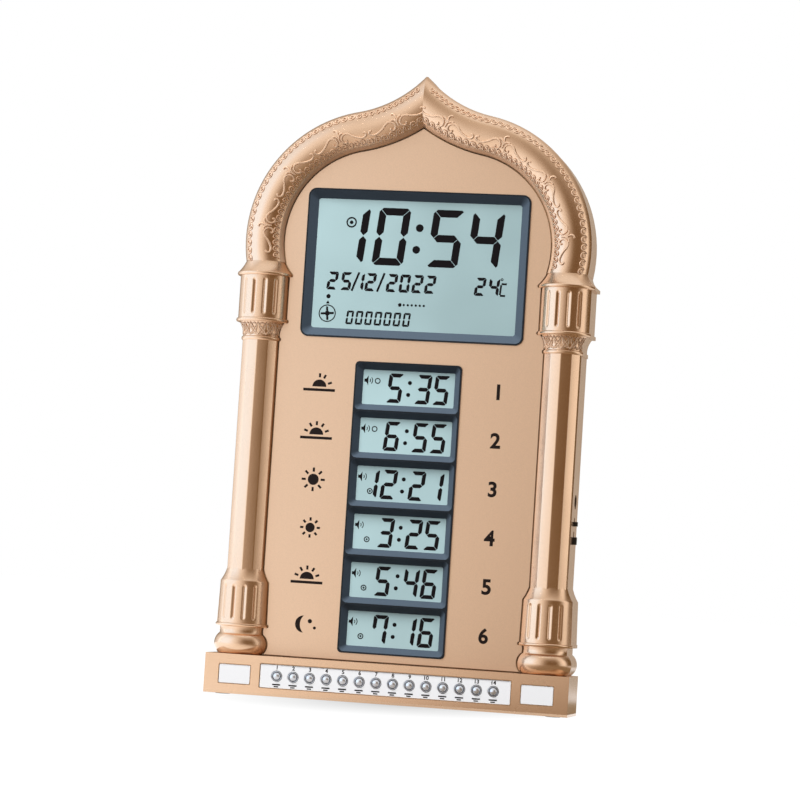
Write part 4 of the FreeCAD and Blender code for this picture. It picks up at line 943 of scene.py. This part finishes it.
class CLOCK_OT_keys(Operator):
    """Build the fourteen plated keys and their white strip"""
    bl_idname = "clock.keys"
    bl_label = "Keys"

    def execute(self, context):
        refined("key_strip", "white_trim", 0.1)
        # Each cap has a low dome within a rounded lip.
        reach, rise, top_y, halfway = 2.2, 1.4, -18.85, 1.35
        painted_shade_y = -16.9
        ball = (reach ** 2 + rise ** 2) / (2 * rise)
        dome = through((0.0, top_y), (halfway, top_y + ball - sqrt(ball ** 2 - halfway ** 2)),
                       (reach, top_y + rise), 10)
        lip = through((2.55, -17.2), (2.76, -17.5), (2.97, -17.2), 8)
        profile = (dome + [(reach, -16.2), (2.55, -16.2)] + lip
                   + [(2.97, -15.9), (3.4, -15.9), (3.4, -14.4), (4.1, -14.4), (4.1, -13.6), (1.7, -13.6),
                      (1.7, -11.0), (0, -11.0)])
        for number, x in key_places():
            bm = bmesh.new()
            thread(bm, [(x + r, y, key_z) for r, y in profile])
            spun(bm, (x, 0, key_z), (0, 1, 0), 48)
            node = "button_%02d" % number
            cap = placed(bm, node + "_cap", "plated_caps", body=node, replaces=[node], smooth=50)
            # The groove round the dome and the skirt under the strip take black nylon instead of the
            # plating; in the groove the black is a painted shade.
            cap.data.materials.append(FINISHES["control_black"])
            for face in cap.data.polygons:
                if face.center.y > painted_shade_y * MM:
                    face.material_index = 1
        return {"FINISHED"}


# ---------------------------------------------------------------- printing
def lettered(text, height, x, z, y):
    """Plain numerals, centred on a place, just proud of a face."""
    curve = bpy.data.curves.new(text, "FONT")
    curve.body = text
    curve.align_x = "CENTER"
    curve.align_y = "CENTER"
    curve.extrude = 0.02
    curve.offset = 0.03
    curve.resolution_u = 4
    bm = drawn(curve)
    low, high = min(v.co.y for v in bm.verts), max(v.co.y for v in bm.verts)
    left, right = min(v.co.x for v in bm.verts), max(v.co.x for v in bm.verts)
    scale = height / (high - low)
    bmesh.ops.translate(bm, vec=(-(left + right) / 2, -(low + high) / 2, 0), verts=bm.verts)
    stood = Matrix(((scale, 0, 0, x), (0, 0, -2.0, y), (0, scale, 0, z), (0, 0, 0, 1)))
    bmesh.ops.transform(bm, matrix=stood, verts=bm.verts)
    return bm


def merged(bm, other):
    """Adds one mesh to another."""
    mesh = bpy.data.meshes.new("part")
    other.to_mesh(mesh)
    other.free()
    bm.from_mesh(mesh)
    bpy.data.meshes.remove(mesh)


class CLOCK_OT_printing(Operator):
    """Print the marks beside the windows and round the keys, and draw painted shadow lines round the pockets
    """
    bl_idname = "clock.printing"
    bl_label = "Printing"

    def execute(self, context):
        bm = bmesh.new()
        for row in range(row_count):
            x, z = -53.0, first_row + mark_lift - row_pitch * row
            merged(bm, lettered(str(row + 1), 9.2, 54.0, z, face_y))
            if row in (0, 1, 4):
                proud(bm, arc(x, z - 1.9, 4.2, 0, pi, 18), face_y)
                bar(bm, x - 9.6, z - 3.8, x + 9.6, z - 3.8, 1.6, face_y)
                rays = (0.35, 1.1, pi / 2) if row == 0 else (0.35, 1.0, pi / 2, pi - 1.0, pi - 0.35)
                for angle in rays:
                    ray(bm, x, z - 1.9, angle, 5.5, 7.9, 1.3, face_y)
            elif row == 5:
                outer = through((x - 0.2, z + 5.0), (x - 5.2, z), (x - 0.2, z - 5.0), 20)
                inner = through((x - 0.2, z - 5.0), (x - 2.3, z), (x - 0.2, z + 5.0), 20)
                proud(bm, outer + inner[1:-1], face_y)
                dot(bm, x + 3.6, z + 1.9, 1.3, face_y, 12)
                dot(bm, x + 6.6, z - 1.9, 0.9, face_y, 12)
            else:
                near, far = (3.3, 7.0) if row == 2 else (2.8, 6.0)
                dot(bm, x, z, near, face_y, 30)
                for i in range(8):
                    ray(bm, x, z, pi / 4 * i, near + 1.2, far, 1.3, face_y)
        placed(bm, "panel_print", "printing")

        bm = bmesh.new()
        for number, x in key_places():
            merged(bm, lettered(str(number), 2.4, x, 17.5, strip_y))
            bar(bm, x - 2.4, 7.5, x + 2.4, 7.5, 0.8, strip_y)
            bar(bm, x - 1.3, 6.3, x + 1.3, 6.3, 0.7, strip_y)
        placed(bm, "key_print", "printing")

        # Dark lines round the pockets' edges: a painted shadow for the gaps there.
        bm = bmesh.new()
        border(bm, 148.25, 14.0, 0, 12.25, 0.3, front_y)
        for x in (-89.375, 89.375):
            border(bm, 18.9, 11.2, x, 12.0, 0.3, front_y)
        placed(bm, "pocket_painted_shadow", "groove")
        return {"FINISHED"}


# ---------------------------------------------------------------- rear
class CLOCK_OT_rear(Operator):
    """Build the rear cover, the battery box and its door, and the stand"""
    bl_idname = "clock.rear"
    bl_label = "Rear"

    def execute(self, context):
        refined("rear_cover", "cover_black", 0.3)
        refined("battery_box", "cover_black", 0.2)
        refined("battery_door", "cover_black", 0.2, body="battery_door")
        refined("stand_bracket", "cover_black", 0.25)
        refined("stand_leg", "cover_black", 0.4, body="stand_leg")
        return {"FINISHED"}


class CLOCK_OT_screws(Operator):
    """Build the cover's eight cross-head screws"""
    bl_idname = "clock.screws"
    bl_label = "Cover screws"

    def execute(self, context):
        bm = bmesh.new()
        for x, z in ((96.13, 41.6), (96.13, 200.85), (74.0, 324.49), (102.2, 12.35)):
            for side in (-1, 1):
                merged(bm, self.screw(side * x, z))
        placed(bm, "cross_head_screws", "steel", replaces=["cover_screws"])
        return {"FINISHED"}

    def screw(self, x, z):
        """A screw with a rounded head, whose cross recess faces backwards."""
        bm = bmesh.new()
        thread(bm, [(x + r, y, z) for r, y in ((0, 8.9), (1.25, 8.9), (1.25, 17.65), (2.75, 17.65),
                                               (2.75, 18.25), (2.6, 18.55), (2.3, 18.72), (1.9, screw_top))])
        spun(bm, (x, 0, z), (0, 1, 0), 32)
        rim = [e for e in bm.edges if e.is_boundary]
        long, wide, sunk = 1.35, 0.3, 0.8
        quarter = [(long, -wide), (long, wide), (wide, wide)]
        slot = loop(bm, [(x + a * cos(t) - b * sin(t), z + a * sin(t) + b * cos(t))
                         for t in (0, pi / 2, pi, 3 * pi / 2) for a, b in quarter], screw_top)
        bmesh.ops.triangle_fill(bm, edges=rim + slot, use_beauty=True, normal=(0, 1, 0))
        deep = bmesh.ops.extrude_edge_only(bm, edges=slot)["geom"]
        corners = [v for v in deep if isinstance(v, bmesh.types.BMVert)]
        bmesh.ops.translate(bm, vec=(0, -sunk, 0), verts=corners)
        bmesh.ops.contextual_create(bm, geom=[e for e in deep if isinstance(e, bmesh.types.BMEdge)])
        return bm


# ---------------------------------------------------------------- side controls
class CLOCK_OT_side(Operator):
    """Build the power socket and the two slide knobs"""
    bl_idname = "clock.side"
    bl_label = "Side controls"

    def execute(self, context):
        refined("dc_socket", "control_black", 0.15)
        refined("volume_knob", "control_black", 0.25, body="volume_knob")
        refined("light_knob", "control_black", 0.25, body="light_knob")
        return {"FINISHED"}


# ---------------------------------------------------------------- stage
def seen(tree):
    """1 for what the camera, metal and glass look at, 0 for plain light."""
    path = add(tree, "ShaderNodeLightPath").outputs
    share = path["Is Camera Ray"]
    for kind in ("Is Glossy Ray", "Is Transmission Ray"):
        share = add(tree, "ShaderNodeMath", {0: share, 1: path[kind]}, operation="MAXIMUM").outputs[0]
    return share


def towards(azimuth, elevation):
    """The direction from the clock at degrees to the right of its front and degrees up."""
    a, e = radians(azimuth), radians(elevation)
    return Vector((sin(a) * cos(e), -cos(a) * cos(e), sin(e)))


def soft_lamp(name, azimuth, elevation, distance, width, height, radiance):
    """A soft box that faces the clock; its light is set by how bright its face is."""
    lamp = bpy.data.lights.new(name, "AREA")
    lamp.shape = "RECTANGLE"
    lamp.size, lamp.size_y = width, height
    lamp.energy = radiance * pi * width * height
    thing = bpy.data.objects.new(name, lamp)
    bpy.context.scene.collection.objects.link(thing)
    back = towards(azimuth, elevation)
    thing.location = Vector((0, 0, 0.18)) + back * distance
    thing.rotation_euler = back.to_track_quat("Z", "Y").to_euler()
    # Metal and glass look at the tent, so that the lamp leaves no hard patch on them.
    thing.visible_glossy = False


# What the metal sees round about: degrees from the front towards the right, and the tone at half strength.
WALLS = ((-90, "#CCE0F8"), (-47, "#CCE0F8"), (-36, "#CCD4E0"), (-27, "#C5C5C6"), (-18, "#BFBDBB"),
         (-11, "#AFABA7"), (-3, "#9C938B"), (6, "#81756A"), (14, "#675744"), (23, "#57432C"),
         (58, "#57432C"), (68, "#7A6E60"), (76, "#A8A49F"), (82, "#CAC6C1"), (100, "#CAC6C1"),
         (108, "#57452D"), (136, "#49381F"), (146, "#80746A"), (160, "#887E72"), (182, "#887E72"),
         (196, "#665645"), (214, "#61503C"), (226, "#8A8378"), (240, "#ADADAD"), (254, "#B9B9BA"),
         (260, "#CCE0F8"), (270, "#CCE0F8"))
GROUND = ((-90, "#D2D6DC"), (-30, "#D2D6DC"), (-16, "#C4C0BC"), (-2, "#A69D95"), (14, "#716251"),
          (55, "#67573F"), (78, "#B4B1AE"), (110, "#BBB9B7"), (150, "#80786D"), (225, "#80786D"),
          (250, "#B4B1AE"), (270, "#D2D6DC"))


def tent_cloth(tones, behind=0.0):
    """Cloth whose tone changes round a point behind the clock, and evens out upwards."""
    cloth = bpy.data.materials.new("tent cloth")
    tree = blank(cloth)
    place = add(tree, "ShaderNodeTexCoord").outputs["Object"]
    centred = add(tree, "ShaderNodeMapping", {"Vector": place, "Location": (0, -behind, 0)})
    around = add(tree, "ShaderNodeTexGradient", {"Vector": centred.outputs[0]}, gradient_type="RADIAL")
    ramp = add(tree, "ShaderNodeValToRGB", {"Fac": around.outputs["Fac"]})
    for azimuth, tone in tones:
        stop = ramp.color_ramp.elements.new((azimuth + 90) / 360)
        stop.color = (*linear(tone), 1)
    height = add(tree, "ShaderNodeSeparateXYZ", {"Vector": place})
    share = add(tree, "ShaderNodeMapRange", {"Value": height.outputs["Z"], "From Min": 0.6, "From Max": 1.9,
                                             "To Min": 0.0, "To Max": 0.85})
    even = (*linear("#A69F97"), 1)
    mixed = add(tree, "ShaderNodeMix", {0: share.outputs[0], 6: ramp.outputs[0], 7: even}, data_type="RGBA")
    light = add(tree, "ShaderNodeEmission", {"Color": mixed.outputs[2], "Strength": 2.05})
    add(tree, "ShaderNodeOutputMaterial", {"Surface": light.outputs[0]})
    return cloth


class CLOCK_OT_stage(Operator):
    """Set the floor, the soft lights and the camera"""
    bl_idname = "clock.stage"
    bl_label = "Stage"

    def execute(self, context):
        scene = context.scene
        # Camera: a long lens a little below the clock's middle, turned 11.6 degrees to the right.
        back, roll, distance = towards(11.6, -3.673), radians(3.663), 1.7
        right = (-back).cross(Vector((0, 0, 1))).normalized()
        up = right.cross(-back)
        target = Vector((-4.03, -4.15, 177.8)) * MM
        lens = bpy.data.cameras.new("camera")
        lens.sensor_width = 36
        lens.lens = 130.56
        lens.clip_start = 0.05
        lens.clip_end = 30
        camera = bpy.data.objects.new("camera", lens)
        scene.collection.objects.link(camera)
        across = right * cos(roll) + up * sin(roll)
        upward = up * cos(roll) - right * sin(roll)
        turn = Matrix((across, upward, back)).transposed().to_4x4()
        camera.matrix_world = Matrix.Translation(target + back * distance) @ turn
        scene.camera = camera

        # Floor: matt white card, plain white further off, and near the clock a soft oval where its glow is
        # dimmed: a painted shadow over the clock's faint real shadow.
        bm = bmesh.new()
        bmesh.ops.create_grid(bm, x_segments=1, y_segments=1, size=12)
        floor = meshed(bm, "floor")
        card = bpy.data.materials.new("white card")
        tree = blank(card)
        matt = add(tree, "ShaderNodeBsdfDiffuse", {"Color": (*linear("#3C3C3C"), 1)})
        place = add(tree, "ShaderNodeTexCoord").outputs["Object"]
        # The glow dims in an oval round the clock: a painted shadow.
        spread = add(tree, "ShaderNodeMapping", {"Vector": place, "Scale": (8.6, 5.5, 5.5)})
        near = add(tree, "ShaderNodeTexGradient", {"Vector": spread.outputs[0]}, gradient_type="SPHERICAL")
        painted_shadow = add(tree, "ShaderNodeMapRange", {"Value": near.outputs["Fac"],
                                                 "To Min": 1.0, "To Max": 0.6})
        strength = add(tree, "ShaderNodeMath", {0: seen(tree), 1: painted_shadow.outputs[0]}, operation="MULTIPLY")
        light = add(tree, "ShaderNodeEmission", {"Color": (1, 1, 1, 1), "Strength": strength.outputs[0]})
        both = add(tree, "ShaderNodeAddShader", {0: matt.outputs[0], 1: light.outputs[0]})
        add(tree, "ShaderNodeOutputMaterial", {"Surface": both.outputs[0]})
        floor.data.materials.append(card)

        # Light tent with an open top and a brown flag at its front right: only metal and glass see it.
        reach, height, lift = 1.2, 2.2, 0.002
        bm = bmesh.new()
        bmesh.ops.create_cone(bm, cap_ends=True, segments=96, radius1=reach, radius2=reach, depth=height,
                              matrix=Matrix.Translation((0, 0, height / 2 + lift)))
        top = [face for face in bm.faces if face.calc_center_median().z > 2]
        bmesh.ops.delete(bm, geom=top, context="FACES_ONLY")
        tent = meshed(bm, "light_tent")
        tent.data.materials.append(tent_cloth(WALLS))
        tent.data.materials.append(tent_cloth(GROUND, 0.25))
        for face in tent.data.polygons:
            face.material_index = int(face.center.z < 0.01)
        tent.visible_camera = tent.visible_shadow = tent.visible_diffuse = False

        soft_lamp("key_lamp", -34, 50, 1.6, 0.85, 1.1, 16.6)
        soft_lamp("fill_lamp", 45, 15, 1.4, 0.8, 1.0, 1.3)
        soft_lamp("back_lamp", 160, 40, 1.3, 1.0, 1.0, 7.0)

        scene.world = bpy.data.worlds.new("studio")
        tree = blank(scene.world)
        strength = add(tree, "ShaderNodeMapRange", {"Value": seen(tree), "To Min": 0.1, "To Max": 1.0})
        sky = add(tree, "ShaderNodeBackground", {"Color": (1, 1, 1, 1), "Strength": strength.outputs[0]})
        add(tree, "ShaderNodeOutputWorld", {"Surface": sky.outputs[0]})
        scene.view_settings.view_transform = "Standard"
        return {"FINISHED"}


# ---------------------------------------------------------------- sidebar
class CLOCK_PT_build(Panel):
    """Lists the clock's pieces and its settings"""
    bl_label = "Arch Clock"
    bl_space_type = "VIEW_3D"
    bl_region_type = "UI"
    bl_category = "Arch Clock"

    def draw(self, context):
        for group in (context.scene.clock_colours, context.scene.clock_sizes):
            box = self.layout.box()
            for name in group.__annotations__:
                box.prop(group, name)
        for step in STEPS:
            self.layout.operator(step.bl_idname)


STEPS = (CLOCK_OT_stage, CLOCK_OT_plinth, CLOCK_OT_case, CLOCK_OT_panel, CLOCK_OT_columns, CLOCK_OT_arch,
         CLOCK_OT_scrollwork, CLOCK_OT_displays, CLOCK_OT_keys, CLOCK_OT_printing, CLOCK_OT_side,
         CLOCK_OT_rear, CLOCK_OT_screws)
CLASSES = (ClockColours, ClockSizes, *STEPS, CLOCK_PT_build)


def register():
    for kind in CLASSES:
        bpy.utils.register_class(kind)
    bpy.types.Scene.clock_colours = PointerProperty(type=ClockColours)
    bpy.types.Scene.clock_sizes = PointerProperty(type=ClockSizes)


def unregister():
    del bpy.types.Scene.clock_colours
    del bpy.types.Scene.clock_sizes
    for kind in reversed(CLASSES):
        bpy.utils.unregister_class(kind)


def main():
    """Builds the clock step by step."""
    register()
    mix_finishes()
    for step in STEPS:
        getattr(bpy.ops.clock, step.bl_idname.split(".")[1])()


if __name__ == "__main__":
    main()
